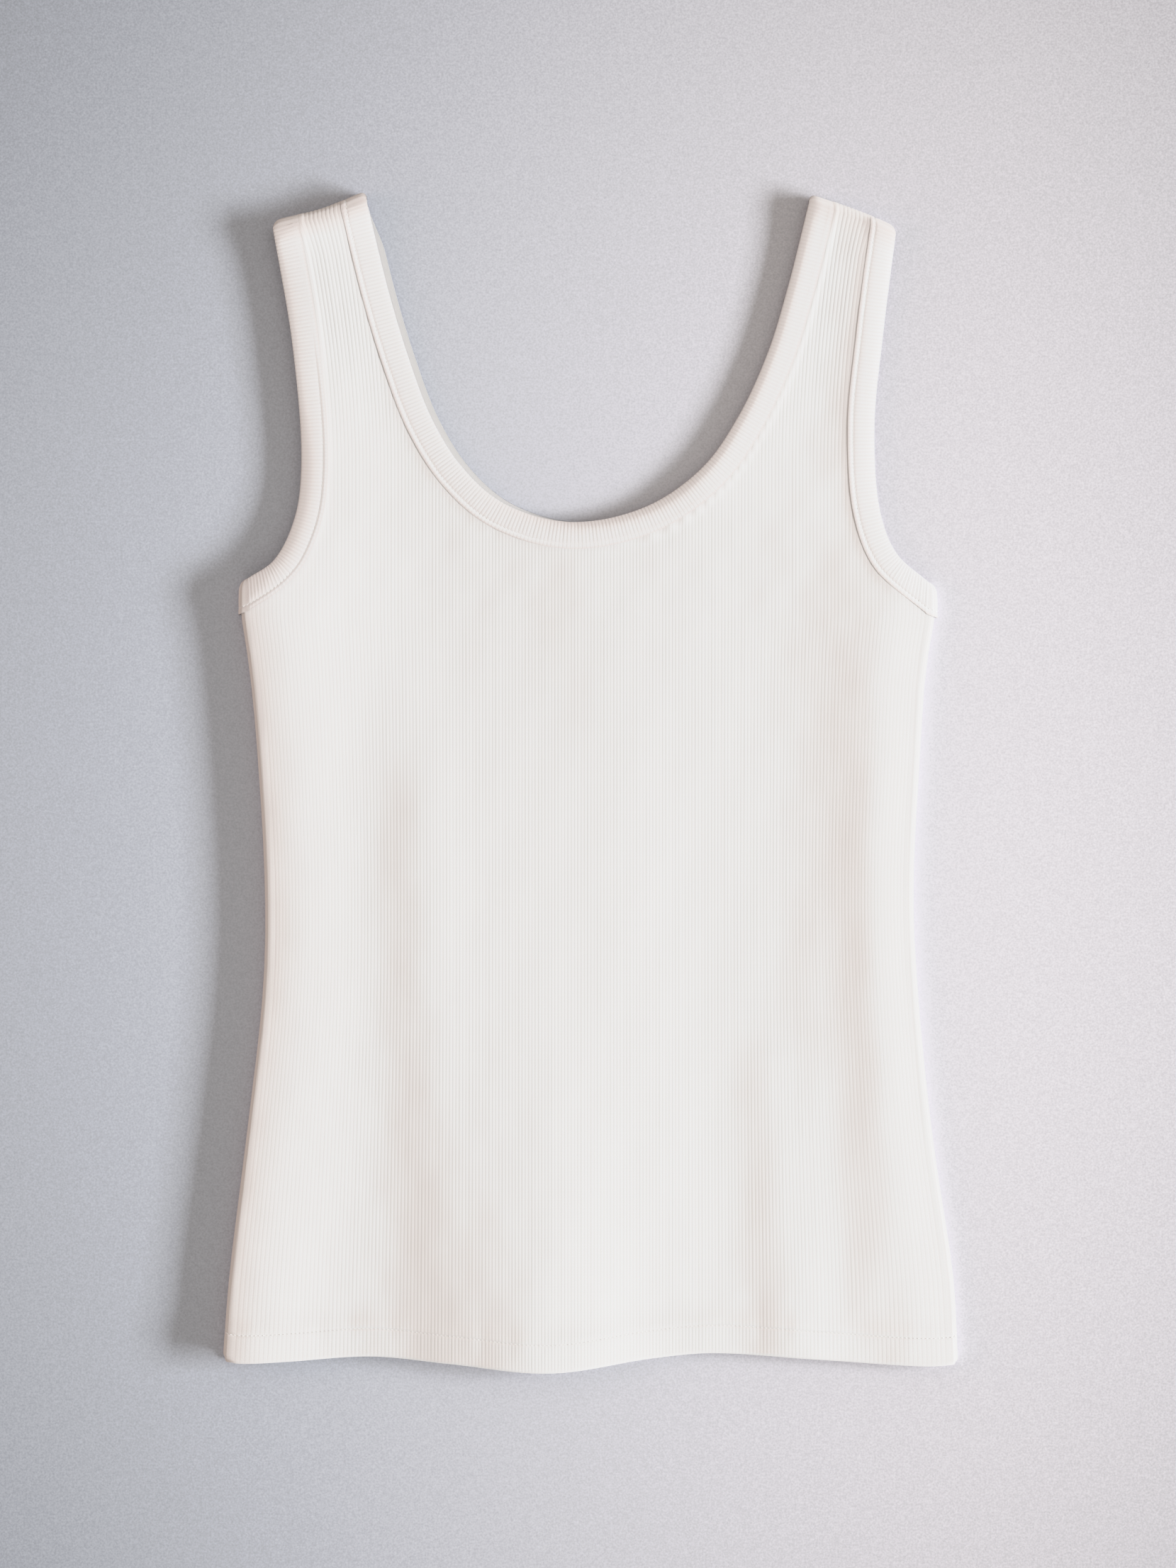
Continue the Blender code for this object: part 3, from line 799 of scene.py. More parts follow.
@dataclass
class Band:
    """Common making of the bindings: strips of rib knit folded over a raw edge."""

    name: str
    node: str
    lie: Lie
    width: float = 15.5
    thickness: float = 2.2
    corner_radius: float = 4.0
    end_blend: float = 26.0
    edge_step: float = 0.5
    turned_over: bool = False
    # the cross ribs
    rib_pitch: float = 2.1
    rib_depth: float = 0.2
    rib_roundness: float = 0.8
    rib_tilt: float = 0.3
    steps_per_rib: int = 4
    unevenness: float = 0.25
    uneven_beats: tuple[float, float] = (2.3, 0.7)
    # how far the free edge drops below the middle, and the painted shade on the two edges: a darker,
    # warmer tint along the free edge and a painted shadow along the lip's edge at the seam
    crown: float = 0.4
    crown_reach: float = 11.5
    crown_power: float = 1.5
    edge_painted_shade: float = 0.8
    painted_shade_reach: float = 13.0
    seam_painted_shadow: float = 0.5
    seam_shadow_fade: Fade = Fade(14.4, 0.7)
    # the seam under the lip, how far up it is carried on, and the stitches
    seam_tuck: float = 1.1
    seam_step: float = 4.0
    cut_top: float = 372.0
    stitch_sink: float = 0.25
    ring: Stretch | None = field(default=None, repr=False)

    def character(self, x: np.ndarray, y: np.ndarray) -> Character:
        """Return how the band is shaped at places along its free edge."""
        ones = np.ones(np.shape(x))
        return Character(ones, ones, 0.0 * ones)

    def across_shoulder(self, side: Side, towards: int) -> np.ndarray:
        """Find the way across a band along a shoulder fold.

        Args:
            side: the shoulder's side.
            towards: -1 or 1, for a way towards -X or +X.

        Returns:
            The way, with the band's width as its length.
        """
        rows = SHOULDERS[side]
        run = np.array([rows[-1].x - rows[0].x, rows[-1].height - rows[0].height])
        return towards * self.width * run / np.linalg.norm(run)

    def stations(
        self, edge: np.ndarray, body_turn: int, start: np.ndarray, end: np.ndarray
    ) -> Stations:
        """Lay stations along a free edge.

        Args:
            edge: points along the free edge.
            body_turn: 1 where the body lies to the left of the way along the edge.
            start: the way across the band at its first fold, with its width as length.
            end: the same at its last fold.

        Returns:
            The stations, which turn to the folds' own ways near the ends.
        """
        way = np.gradient(edge, axis=0)
        way /= np.linalg.norm(way, axis=1, keepdims=True)
        across = np.column_stack([-way[:, 1], way[:, 0]]) * body_turn * self.width
        along = lengths_along(edge)
        for fixed, gap in ((start, along), (end, along[-1] - along)):
            share = (1.0 - smooth_step(gap / self.end_blend))[:, None]
            across = across + (fixed - across) * share
        return Stations(edge, across)

    def ribs_in(self, stations: Stations) -> int:
        """Return how many cross ribs fit along the middle of a stretch."""
        return round(lengths_along(stations.at(0.5 * self.width))[-1] / self.rib_pitch)

    def even(self, stations: Stations) -> Stations:
        """Space stations evenly, with a whole number of ribs between the ends.

        Args:
            stations: the stations as they were laid.

        Returns:
            The stations of that many ribs, a few for each.
        """
        both = np.hstack([stations.edge, stations.across])
        along = lengths_along(stations.at(0.5 * self.width))
        count = self.ribs_in(stations) * self.steps_per_rib
        both = read_along(np.linspace(0.0, along[-1], count + 1), along, both)
        return Stations(both[:, :2], both[:, 2:])

    def rises(self, phase: np.ndarray, character: Character) -> np.ndarray:
        """Work out the height of the section's points above the band's inner face.

        Args:
            phase: the phase in the cross ribs of each section.
            character: the band's shape at each section.

        Returns:
            The height of each point, one row for each section.
        """
        crown = np.clip(1.0 - ACROSS / self.crown_reach, 0.0, 1.0) ** self.crown_power
        crown = self.crown * crown * OUTSIDE
        valley = 1.0 - np.abs(np.sin(math.pi * phase)) ** self.rib_roundness
        slow, quick = (np.sin(beat * np.floor(phase)) for beat in self.uneven_beats)
        uneven = 1.0 + self.unevenness * slow * quick
        shape = RISE + np.multiply.outer(character.lip, LIFTED)
        shape = shape - np.multiply.outer(character.crown, crown)
        return shape - self.rib_depth * RIBBED * (valley * uneven)[:, None]

    def plan(self, stations: Stations) -> tuple[np.ndarray, np.ndarray]:
        """Place the section's points in plan.

        Args:
            stations: the stations.

        Returns:
            x and y of each point, one row for each station.
        """
        share = ACROSS / self.width
        x = stations.edge[:, :1] + stations.across[:, :1] * share
        y = stations.edge[:, 1:] + stations.across[:, 1:] * share
        return x, y

    def flat(self, stations: Stations, face: Face) -> Stretch:
        """Return the sections of a stretch that lies flat.

        Args:
            stations: the stretch's stations, ends included.
            face: the layer that it lies on.

        Returns:
            The sections between the ends.
        """
        phase = np.arange(len(stations.edge)) / self.steps_per_rib
        x, y = self.plan(stations)
        character = self.character(*stations.edge.T)
        rise = self.rises(phase, character)
        if face is Face.FRONT:
            z = self.lie.binding_seat(x, y) + rise
        else:
            z = np.maximum(self.thickness - rise, 0.0)
        points = np.stack([x, y, z], axis=-1)
        return Stretch(points[1:-1], phase[1:-1], character.lip[1:-1], character.painted_shade[1:-1])

    def turned(self, station: Stations, turn: Turn) -> Stretch:
        """Return the sections of a band where it turns from the front to the back.

        Args:
            station: the one station before the fold.
            turn: how the band turns there.

        Returns:
            The sections from the top of the fold to its bottom.
        """
        x, y = self.plan(station)
        top = self.lie.binding_seat(x, y)
        middle = 0.5 * (top + self.thickness)
        radius = 0.5 * (top - self.thickness)
        arc = 0.5 * math.pi * (self.lie.roll + float(np.mean(radius)) + self.thickness)
        ribs = max(1, round(arc / self.rib_pitch))
        count = ribs * self.steps_per_rib
        phase = np.arange(count + 1) / self.steps_per_rib
        angle = np.linspace(0.5 * math.pi, -0.5 * math.pi, count + 1)[:, None]
        ones = np.ones(count + 1)
        character = Character(*(part * ones for part in self.character(*station.edge.T)))
        rise = self.rises(phase, character)
        inside = 1.0 - np.minimum(ACROSS / self.corner_radius, 1.0)
        inset = self.corner_radius * (1.0 - np.sqrt(1.0 - inside * inside))
        out = (self.lie.roll - self.thickness + rise) * np.abs(np.cos(angle)) ** turn.fullness
        out = out * (1.0 - inset / self.lie.roll) + turn.level(x, y)
        height = np.sign(angle) * np.abs(np.sin(angle)) ** turn.fullness
        z = np.maximum(middle + (radius + rise) * height, 0.0)
        points = np.stack([x + turn.reach[0] * out, y + turn.reach[1] * out, z], axis=-1)
        return Stretch(points, phase, character.lip, character.painted_shade)

    def shoulder_turn(self, side: Side) -> Turn:
        """Describe how the band turns over a shoulder.

        Args:
            side: the shoulder's side.

        Returns:
            The turn.
        """

        def level(x: np.ndarray, y: np.ndarray) -> np.ndarray:
            """Return how far a point lies before the fold."""
            return self.lie.shoulder_line(side, x) - self.lie.roll - y

        return Turn((0.0, 1.0), level, self.lie.shoulder_fullness)

    def close(
        self, front: Stations, back: Stations, last_turn: Turn, first_turn: Turn
    ) -> bpy.types.Object:
        """Join the front, the back and the two turns between them to one ring.

        Args:
            front: the stations of the front.
            back: the stations of the back, in the same order.
            last_turn: how the band turns after the front's last station.
            first_turn: how it turns before the first one.

        Returns:
            The piece.
        """
        over_last = self.turned(front.part(slice(-1, None)), last_turn)
        over_first = self.turned(front.part(slice(0, 1)), first_turn)
        stretches = (
            self.flat(front, Face.FRONT),
            over_last,
            self.flat(back.part(slice(None, None, -1)), Face.BACK),
            over_first._replace(points=over_first.points[::-1]),
        )
        self.ring = Stretch(*(np.concatenate(parts) for parts in zip(*stretches)))
        return self.mesh()

    def seam_line(self, stations: Stations) -> np.ndarray:
        """Return the line that a panel is sewn along, hidden under the lip."""
        line = stations.at(self.width - self.seam_tuck)
        return spaced(line, round(lengths_along(line)[-1] / self.seam_step))

    def normals(self) -> tuple[np.ndarray, np.ndarray]:
        """Work out the way out of the cloth at each point, with its ribs and lip eased.

        Light spreads inside cotton, so its small ribs shade far more softly than their
        shape alone would.

        Returns:
            The ways out, and the same without any ribs.
        """
        points = self.ring.points
        along = np.roll(points, -1, axis=0) - np.roll(points, 1, axis=0)
        across = np.roll(points, -1, axis=1) - np.roll(points, 1, axis=1)
        sharp = unit(np.cross(across, along))
        outward = points[:, TOP_ROW] - points[:, INSIDE_ROW]
        sharp *= np.sign((sharp[:, TOP_ROW] * outward).sum(axis=-1))[:, None, None]
        reach = range(-self.steps_per_rib, self.steps_per_rib + 1)
        calm = COTTON.ease_folds(unit(sum(np.roll(sharp, shift, axis=0) for shift in reach)))
        eased = unit(calm + (COTTON.ease_folds(sharp) - calm) * self.rib_tilt)
        top = calm[:, TOP_ROW : TOP_ROW + 1]
        normals = COTTON.spread_light(unit(eased + (top - eased) * CALM[:, None]))
        normals[:, LIP_ROW + 2 :] = -top
        return normals, calm

    def painted_shades(self, calm: np.ndarray) -> np.ndarray:
        """Work out the painted shade of each point: a darker, warmer tint along the free edge where
        the band has it, a painted shadow along the lip's edge at the seam, and the cloth's painted
        shade where it turns from the lamp.

        Args:
            calm: the way out of the cloth at each point, without its ribs.

        Returns:
            The painted shade of each point, from 0 to 1.
        """
        # painted shade along the free edge, and a painted shadow along the lip's edge at the seam
        edge = self.edge_painted_shade * np.clip(1.0 - ACROSS / self.painted_shade_reach, 0.0, 1.0)
        own = np.multiply.outer(self.ring.painted_shade, edge) + self.seam_painted_shadow * self.seam_shadow_fade.at(ACROSS)
        points = self.ring.points
        read = own * (calm[..., 2] > 0.0) + self.lie.painted_shade(points[..., 0], points[..., 1], calm)
        return np.clip(read, 0.0, 1.0) * OUTSIDE

    def mesh(self) -> bpy.types.Object:
        """Make the ring one closed mesh.

        Returns:
            The piece.
        """
        rings, points = self.ring.points.shape[:2]
        index = np.arange(rings * points).reshape(rings, points)
        beside = np.roll(index, -1, axis=1)
        after = np.roll(index, -1, axis=0)
        faces = np.stack((index, beside, np.roll(beside, -1, axis=0), after), axis=-1)
        if self.turned_over:
            faces = faces[..., ::-1]
        row = np.arange(points)
        eased = np.broadcast_to((row <= LIP_ROW) | (row >= INSIDE_ROW - 1), (rings, points))
        crest = 1.0 - RIBBED * (1.0 - np.abs(np.sin(math.pi * self.ring.phases))[:, None])
        middle = self.ring.points[:, TOP_ROW]
        along = lengths_along(np.vstack([middle, middle[:1]]))[:-1]
        u = np.broadcast_to(along[:, None] / self.rib_pitch, (rings, points))
        v = np.broadcast_to(ACROSS / COURSE, (rings, points))
        normals, calm = self.normals()
        return new_piece(
            self.name,
            self.ring.points.reshape(-1, 3),
            [tuple(face) for face in faces.reshape(-1, 4).tolist()],
            np.stack([u, v], axis=-1).reshape(-1, 2),
            {
                "crest": crest.reshape(-1),
                "inside": np.tile(~OUTSIDE, rings),
                # the painted shade mark
                "painted_light_and_shade": self.painted_shades(calm).reshape(-1),
            },
            Shading(normals.reshape(-1, 3), eased.reshape(-1)),
        )

    def stitches(self) -> bpy.types.Object:
        """Sew the row of stitches along the lip.

        Returns:
            The piece that holds the stitches.
        """
        ring = np.vstack([self.ring.points, self.ring.points[:1]])
        line = ring[:, GROOVE_ROW]
        across = ring[:, GROOVE_ROW + 1] - ring[:, GROOVE_ROW - 1]
        normal = np.cross(across, np.gradient(line, axis=0))
        inward = line - ring[:, INSIDE_ROW]
        normal *= np.sign((inward * normal).sum(axis=1, keepdims=True))
        lip = np.append(self.ring.lip, self.ring.lip[0])[:, None]
        line = line - unit(normal) * self.stitch_sink * (1.0 - lip)
        return Stitching().lay(self.name.replace("_knit", "_stitches"), line, normal)


@dataclass
class NeckBand(Band):
    """The neck binding, a ring folded over both shoulders."""

    crown: float = 0.38
    crown_reach: float = 6.5
    edge_painted_shade: float = 0.9
    painted_shade_reach: float = 7.0
    crown_fade: Fade = Fade(-85.0, 80.0)
    lip_fade: Fade = Fade(-50.0, 50.0)
    lip_loss: float = 0.9
    back_shift: tuple[float, float] = (3.7, 0.5)
    back_fade: Fade = Fade(20.0, -80.0)
    back_blend: float = 30.0

    def character(self, x: np.ndarray, y: np.ndarray) -> Character:
        """Return the band's shape: crowned and with painted shade along its edge at its left, and
        lipped at its right.
        """
        crown = self.crown_fade.at(x)
        return Character(crown, 1.0 - self.lip_loss * self.lip_fade.at(x), crown)

    def lay(self) -> Stations:
        """Lay the front, from the right shoulder to the left one.

        Returns:
            Its stations.
        """
        edge = curve_through(NECK_EDGE, self.edge_step)
        start = self.across_shoulder(Side.RIGHT, -1)
        end = self.across_shoulder(Side.LEFT, 1)
        return self.stations(edge, -1, start, end)

    def lay_back(self) -> Stations:
        """Lay the back, which lies a little off the front.

        Returns:
            Its stations.
        """
        front = self.lay()
        x, y = front.edge.T
        share = self.back_fade.at(x) * smooth_step((min(y[0], y[-1]) - y) / self.back_blend)
        return Stations(front.edge + share[:, None] * self.back_shift, front.across)

    def seam(self, stations: Stations) -> Seam:
        """Find the seam between a panel and this band.

        Args:
            stations: the band's stations on the panel's layer.

        Returns:
            The seam, carried on past the shoulders.
        """
        line = self.seam_line(stations)
        top = np.array([[line[0, 0], self.cut_top]])
        end = np.array([[line[-1, 0], self.cut_top]])
        return Seam(np.vstack([top, line, end]), -1)

    def build(self) -> bpy.types.Object:
        """Build the ring.

        Returns:
            The piece.
        """
        over_left = self.shoulder_turn(Side.LEFT)
        over_right = self.shoulder_turn(Side.RIGHT)
        return self.close(self.even(self.lay()), self.even(self.lay_back()), over_left, over_right)


@dataclass
class ArmholeBand(Band):
    """An armhole binding, a ring folded over the underarm and the shoulder."""

    side: Side = Side.LEFT
    underarm_span: float = 18.5
    underarm_inset: float = 1.0
    underarm_slope: float = 0.35
    proud: float = 1.7
    cut_side: float = 250.0
    full_crown: float = 1.35
    low_fade: Fade = Fade(118.0, 22.0)
    high_fade: Fade = Fade(172.0, 60.0)
    strap_fade: Fade = Fade(220.0, 40.0)
    low_crown_loss: float = 0.55
    high_crown_loss: float = 0.75
    high_lip_loss: float = 0.3
    strap_lip_loss: float = 0.55
    high_painted_shade_loss: float = 0.55

    def character(self, x: np.ndarray, y: np.ndarray) -> Character:
        """Describe the band. The right one lies flatter and with less lip high up, and has painted
        shade along its free edge, less of it high up.

        Args:
            x: x of places along the free edge; not used.
            y: their y.

        Returns:
            The band's shape at each place.
        """
        high = self.high_fade.at(y)
        if self.side is Side.LEFT:
            none = 0.0 * high
            return Character(self.full_crown + none, 1.0 + none, none)
        low = 1.0 - self.low_fade.at(y)
        crown = self.full_crown - self.low_crown_loss * low - self.high_crown_loss * high
        lip = 1.0 - self.high_lip_loss * high - self.strap_lip_loss * self.strap_fade.at(y)
        return Character(crown, lip, 1.0 - self.high_painted_shade_loss * high)

    def lay(self) -> Stations:
        """Lay one face, from the underarm to the shoulder.

        Returns:
            Its stations.
        """
        sign = self.side.value
        edge = curve_through(ARM_EDGES[self.side], self.edge_step)
        start = np.array([-sign * self.underarm_inset, -self.underarm_span])
        end = self.across_shoulder(self.side, -sign)
        return self.stations(edge, sign, start, end)

    def seam(self) -> Seam:
        """Find the seam between a panel and this band.

        Returns:
            The seam, carried on past the underarm and the shoulder.
        """
        sign = self.side.value
        line = self.seam_line(self.lay())
        outward = self.cut_side - abs(line[0, 0])
        corner = np.array([[sign * self.cut_side, line[0, 1] - self.underarm_slope * outward]])
        end = np.array([[line[-1, 0], self.cut_top]])
        return Seam(np.vstack([corner, line, end]), sign)

    def underarm_turn(self) -> Turn:
        """Describe how the band turns under the arm.

        Returns:
            The turn.
        """
        sign = self.side.value

        def level(x: np.ndarray, y: np.ndarray) -> np.ndarray:
            """Return how far a point lies before the fold."""
            side_line = self.lie.side_line(np.array(sign), y)
            return sign * (side_line - x) + self.proud - self.lie.roll

        fullness = float(self.lie.side_fullness(np.array(sign)))
        return Turn((sign, -self.underarm_slope), level, fullness)

    def build(self) -> bpy.types.Object:
        """Build the ring.

        Returns:
            The piece.
        """
        stations = self.even(self.lay())
        return self.close(stations, stations, self.shoulder_turn(self.side), self.underarm_turn())


# ---------------------------------------------------------------- panels


class RowKind(Enum):
    """What a row of a panel's grid follows."""

    HEM = "height above the hem's edge"
    LEVEL = "fixed height"
    STRAP = "share of the way from the last fixed height to the shoulder fold"
    SHOULDER = "angle round the shoulder fold"


class GridRow(NamedTuple):
    """A row of a panel's grid."""

    kind: RowKind
    value: float


HEM_ROWS = (
    0.0, 0.12, 0.4, 0.85, 1.4, 2.1, 4.0, 8.0, 12.0, 14.4, 15.3, 15.8, 16.1, 16.6, 17.4, 19.0, 22.0,
    27.0, 33.0,
)
BODY_LEVELS = np.linspace(-284.0, 92.0, 22)
CHEST_LEVELS = np.linspace(97.0, 181.0, 18)
STRAP_LEVELS = np.linspace(187.0, 301.0, 20)
LAST_LEVEL = float(STRAP_LEVELS[-1])
STRAP_SHARES = (0.25, 0.5, 0.75, 1.0)
SHOULDER_ANGLES = (75.0, 56.0, 38.0, 19.0, 0.0)


@dataclass
class Grid:
    """A panel's cloth as a grid of places, before its thickness is added."""

    base: np.ndarray
    out: np.ndarray
    rib: np.ndarray

    @property
    def plan(self) -> np.ndarray:
        """Return the x and y of each place."""
        return self.base[..., :2]


def grid_normals(points: np.ndarray) -> np.ndarray:
    """Return the way up out of a grid of points, at each of them."""
    return unit(np.cross(np.gradient(points, axis=1), np.gradient(points, axis=0)))


@dataclass
class Panel:
    """A panel of rib knit, cut out along the seams, with its hem turned up."""

    name: str
    node: str
    face: Face
    lie: Lie
    seams: list[Seam]
    # the ribs: their number and height, and the place and the height of each one's points
    rib_count: int = 200
    rib_height: float = 0.16
    rib_phases: tuple[float, ...] = (0.0, 0.28, 0.72)
    rib_profile: tuple[float, ...] = (0.0, 1.0, 1.0)
    rib_tilt: float = 0.62
    unevenness: float = 0.09
    uneven_beats: tuple[float, float, float] = (1.7, 0.37, 0.013)
    strap_gain: tuple[float, float] = (0.7, 0.35)
    strap_fade: Fade = Fade(190.0, 90.0)
    # the places where they lie flatter
    flat_near_seam: float = 0.85
    flat_reach: float = 3.4
    flat_in_seam: float = 0.85
    tuck_reach: float = 1.3
    flat_at_side: float = 0.45
    side_ribs: float = 20.0
    flat_at_edge: float = 0.6
    flat_at_stitches: float = 0.45
    # the cloth beside a binding: its swell, and the ridge that the turned-in edge makes
    seam_swell: float = 0.17
    seam_reach: float = 3.4
    ridge_height: float = 0.16
    ridge_reach: float = 1.6
    ridge_rise: float = 2.0
    ridge_foot: Fade = Fade(126.0, 14.0)
    ridge_off: float = 1.95
    arm_ridge_end: float = -100.0
    arm_ridge_off: tuple[float, float] = (0.3, 1.7)
    arm_ridge_fade: Fade = Fade(215.0, 60.0)
    least_step: float = 0.05
    # the hem: its rounded edge, the step of its doubled cloth, its stitches and puckers
    edge_start: float = 0.04
    edge_reach: float = 2.0
    hem_step: float = 1.4
    stitch_dip: float = 0.14
    stitch_reach: float = 0.7
    stitch_rise: float = 0.3
    stitch_reads: int = 4
    pucker_reach: float = 9.0

    def grid_rows(self) -> list[GridRow]:
        """List the rows of the grid from the hem to the shoulder seams.

        Returns:
            The rows, from the bottom up.
        """
        rows = [GridRow(RowKind.HEM, above) for above in HEM_ROWS]
        for levels in (BODY_LEVELS, CHEST_LEVELS, STRAP_LEVELS):
            rows += [GridRow(RowKind.LEVEL, float(height)) for height in levels]
        rows += [GridRow(RowKind.STRAP, share) for share in STRAP_SHARES]
        rows += [GridRow(RowKind.SHOULDER, angle) for angle in SHOULDER_ANGLES]
        return rows

    def turned_height(
        self, middle: float, rise: np.ndarray, angle: np.ndarray, fullness: np.ndarray | float
    ) -> np.ndarray:
        """Work out the height of a quarter turn, half a seam gap clear of the middle.

        Args:
            middle: the height where the two layers meet.
            rise: how far the layer's face lies from there.
            angle: how far round the turn each place is.
            fullness: how round the turn is, lower where it is squarer.

        Returns:
            The height of each place.
        """
        clear = 0.5 * self.lie.seam_gap * (1.0 - np.sin(angle))
        return middle + self.face.value * (rise * np.sin(angle) ** fullness + clear)

    def turn_shoulder(
        self, degrees: float, y: np.ndarray, z: np.ndarray, out: np.ndarray
    ) -> tuple[np.ndarray, np.ndarray]:
        """Turn a row round the shoulder fold.

        Args:
            degrees: the angle at which the row lies, 0 on the seam.
            y: the places' y before the turn.
            z: their z before the turn.
            out: the way out at each, which is turned here.

        Returns:
            The places' y and z after the turn.
        """
        lie = self.lie
        angle = np.full(z.shape, math.radians(degrees))
        rise = z - lie.shoulder_seam if self.face is Face.FRONT else lie.shoulder_seam + z
        out[:, 1] = np.cos(angle)
        out[:, 2] = self.face.value * np.sin(angle)
        z = self.turned_height(lie.shoulder_seam, rise, angle, lie.shoulder_fullness)
        return y + lie.roll * np.cos(angle) ** lie.shoulder_fullness, z

    def turn_sides(
        self,
        side: np.ndarray,
        way: np.ndarray,
        centre: np.ndarray,
        flat: tuple[np.ndarray, ...],
        out: np.ndarray,
    ) -> tuple[np.ndarray, np.ndarray]:
        """Turn the two ends of a row round the side folds.

        Args:
            side: the sign of X at each place.
            way: its distance from the middle, along the cloth.
            centre: the x of the fold's middle.
            flat: the places' x, y and z before the turn.
            out: the way out at each, which is turned here.

        Returns:
            The places' x and z after the turn.
        """
        lie = self.lie
        x, y, z = flat
        turned = (way - np.abs(centre)) / lie.roll_arc()
        on_side = turned > 0.0
        angle = 0.5 * math.pi * (1.0 - np.clip(turned, 0.0, 1.0))
        level = lie.front_top(centre, y) if self.face is Face.FRONT else 2.0 * lie.side_seam
        fullness = lie.side_fullness(side)
        side_x = centre + side * lie.roll * np.cos(angle) ** fullness
        side_z = self.turned_height(lie.side_seam, level - lie.side_seam, angle, fullness)
        out[:, 0] = np.where(on_side, side * np.cos(angle), out[:, 0])
        out[:, 2] = np.where(on_side, self.face.value * np.sin(angle), out[:, 2])
        return np.where(on_side, side_x, x), np.where(on_side, side_z, z)

    def lay_row(self, row: GridRow, rib: np.ndarray) -> tuple[np.ndarray, np.ndarray]:
        """Lay one row of the grid.

        Args:
            row: the row.
            rib: place of each column, in ribs from the right side seam.

        Returns:
            The base points and the way out of the cloth at each.
        """
        lie = self.lie
        share = 2.0 * rib / self.rib_count - 1.0
        side = np.where(share < 0, -1, 1)
        height = np.full(rib.shape, row.value)
        if row.kind is RowKind.HEM:
            foot = np.full(rib.shape, SIDES[0].height)
            widest = np.abs(lie.side_line(side, foot))
            height += lie.hem_line(side * np.minimum(lie.rib_way(share, foot), widest))
        elif row.kind is RowKind.STRAP:
            height = LAST_LEVEL + height * (lie.strap_top - LAST_LEVEL)
        elif row.kind is RowKind.SHOULDER:
            height = np.full(rib.shape, lie.strap_top)
        way = lie.rib_way(share, height)
        x = side * way + lie.strap_lean(side, height, way)
        y = height
        if row.kind in (RowKind.STRAP, RowKind.SHOULDER):
            start = np.where(
                side < 0,
                lie.shoulder_line(Side.RIGHT, x),
                lie.shoulder_line(Side.LEFT, x),
            ) - lie.roll
            reach = row.value if row.kind is RowKind.STRAP else 1.0
            y = LAST_LEVEL + reach * (start - LAST_LEVEL)
        z = lie.front_top(x, y) if self.face is Face.FRONT else np.zeros(rib.shape)
        out = np.zeros(rib.shape + (3,))
        out[:, 2] = self.face.value
        if row.kind is RowKind.SHOULDER:
            y, z = self.turn_shoulder(row.value, y, z, out)
        centre = lie.side_line(side, height) - side * lie.roll
        x, z = self.turn_sides(side, way, centre, (x, y, z), out)
        return np.column_stack([x, y, z]), out

    def lay_grid(self) -> Grid:
        """Lay the whole grid, wider than the cut at the neck and armholes.

        Returns:
            The grid.
        """
        ribs = np.add.outer(np.arange(self.rib_count), self.rib_phases).ravel()
        ribs = np.append(ribs, float(self.rib_count))
        rows = [self.lay_row(row, ribs) for row in self.grid_rows()]
        base, out = (np.array(part) for part in zip(*rows))
        return Grid(base, out, np.broadcast_to(ribs, base.shape[:2]))

    def crests(self, grid: Grid) -> np.ndarray:
        """Return the shape of the ribs, 0 in a valley and 1 on a crest."""
        profile = np.append(np.tile(self.rib_profile, self.rib_count), 0.0)
        return np.broadcast_to(profile, grid.base.shape[:2])

    def rib_strength(
        self, grid: Grid, above: np.ndarray, clear: np.ndarray, along_ribs: np.ndarray
    ) -> np.ndarray:
        """Return how high the ribs stand, as a share of their full height.

        Args:
            grid: the panel's grid.
            above: height above the hem's edge.
            clear: distance from the nearest seam.
            along_ribs: how much that seam runs along the ribs.

        Returns:
            The share, lower along the sides, beside seams that run along the ribs, on the
            hem's edge and under its stitches, and higher in the straps.
        """
        number = np.floor(grid.rib)
        x, y = grid.plan[..., 0], grid.plan[..., 1]
        beat, slow_beat, lean = self.uneven_beats
        uneven = np.sin(beat * number)
        uneven = 1.0 + self.unevenness * uneven * np.sin(slow_beat * number + lean * y)
        onto = np.maximum(clear, 0.0)
        beside = self.flat_near_seam * bump_at(onto, self.flat_reach)
        edge = self.flat_at_edge * np.exp(-np.maximum(above, 0.0) / self.edge_reach)
        sewn = self.flat_at_stitches * bump_at(above - self.lie.hem_depth, self.stitch_reach)
        tucked = self.flat_in_seam * bump_at(onto, self.tuck_reach)
        strap = 1.0 + np.where(x < 0.0, *self.strap_gain) * self.strap_fade.at(y)
        shown = (1.0 - beside * along_ribs**2) * (1.0 - edge) * (1.0 - sewn) * (1.0 - tucked)
        off_side = 0.5 * self.rib_count - np.abs(grid.rib - 0.5 * self.rib_count)
        shown = shown * (1.0 - self.flat_at_side * bump_at(off_side, self.side_ribs))
        return uneven * strap * shown

    def hem_creases(self, x: np.ndarray, above: np.ndarray) -> np.ndarray:
        """Work out how deep the hem's stitches and the puckers across them draw the cloth in.

        Args:
            x: the places' x.
            above: their height above the hem's edge.

        Returns:
            The depth at each place.
        """
        off = above - self.lie.hem_depth
        depth = self.stitch_dip * bump_at(off, self.stitch_reach)
        fade = bump_at(off, self.pucker_reach)
        for pucker in PUCKERS:
            depth = depth + pucker.depth * bump_at(x - pucker.x, pucker.width) * fade
        return depth

    def edge_drop(self, above: np.ndarray) -> np.ndarray:
        """Return how far the hem's edge rounds away."""
        inside = 1.0 - np.clip((above + self.edge_start) / self.edge_reach, 0.0, 1.0)
        return 0.5 * self.lie.hem_thickness * (1.0 - np.sqrt(1.0 - inside**2))

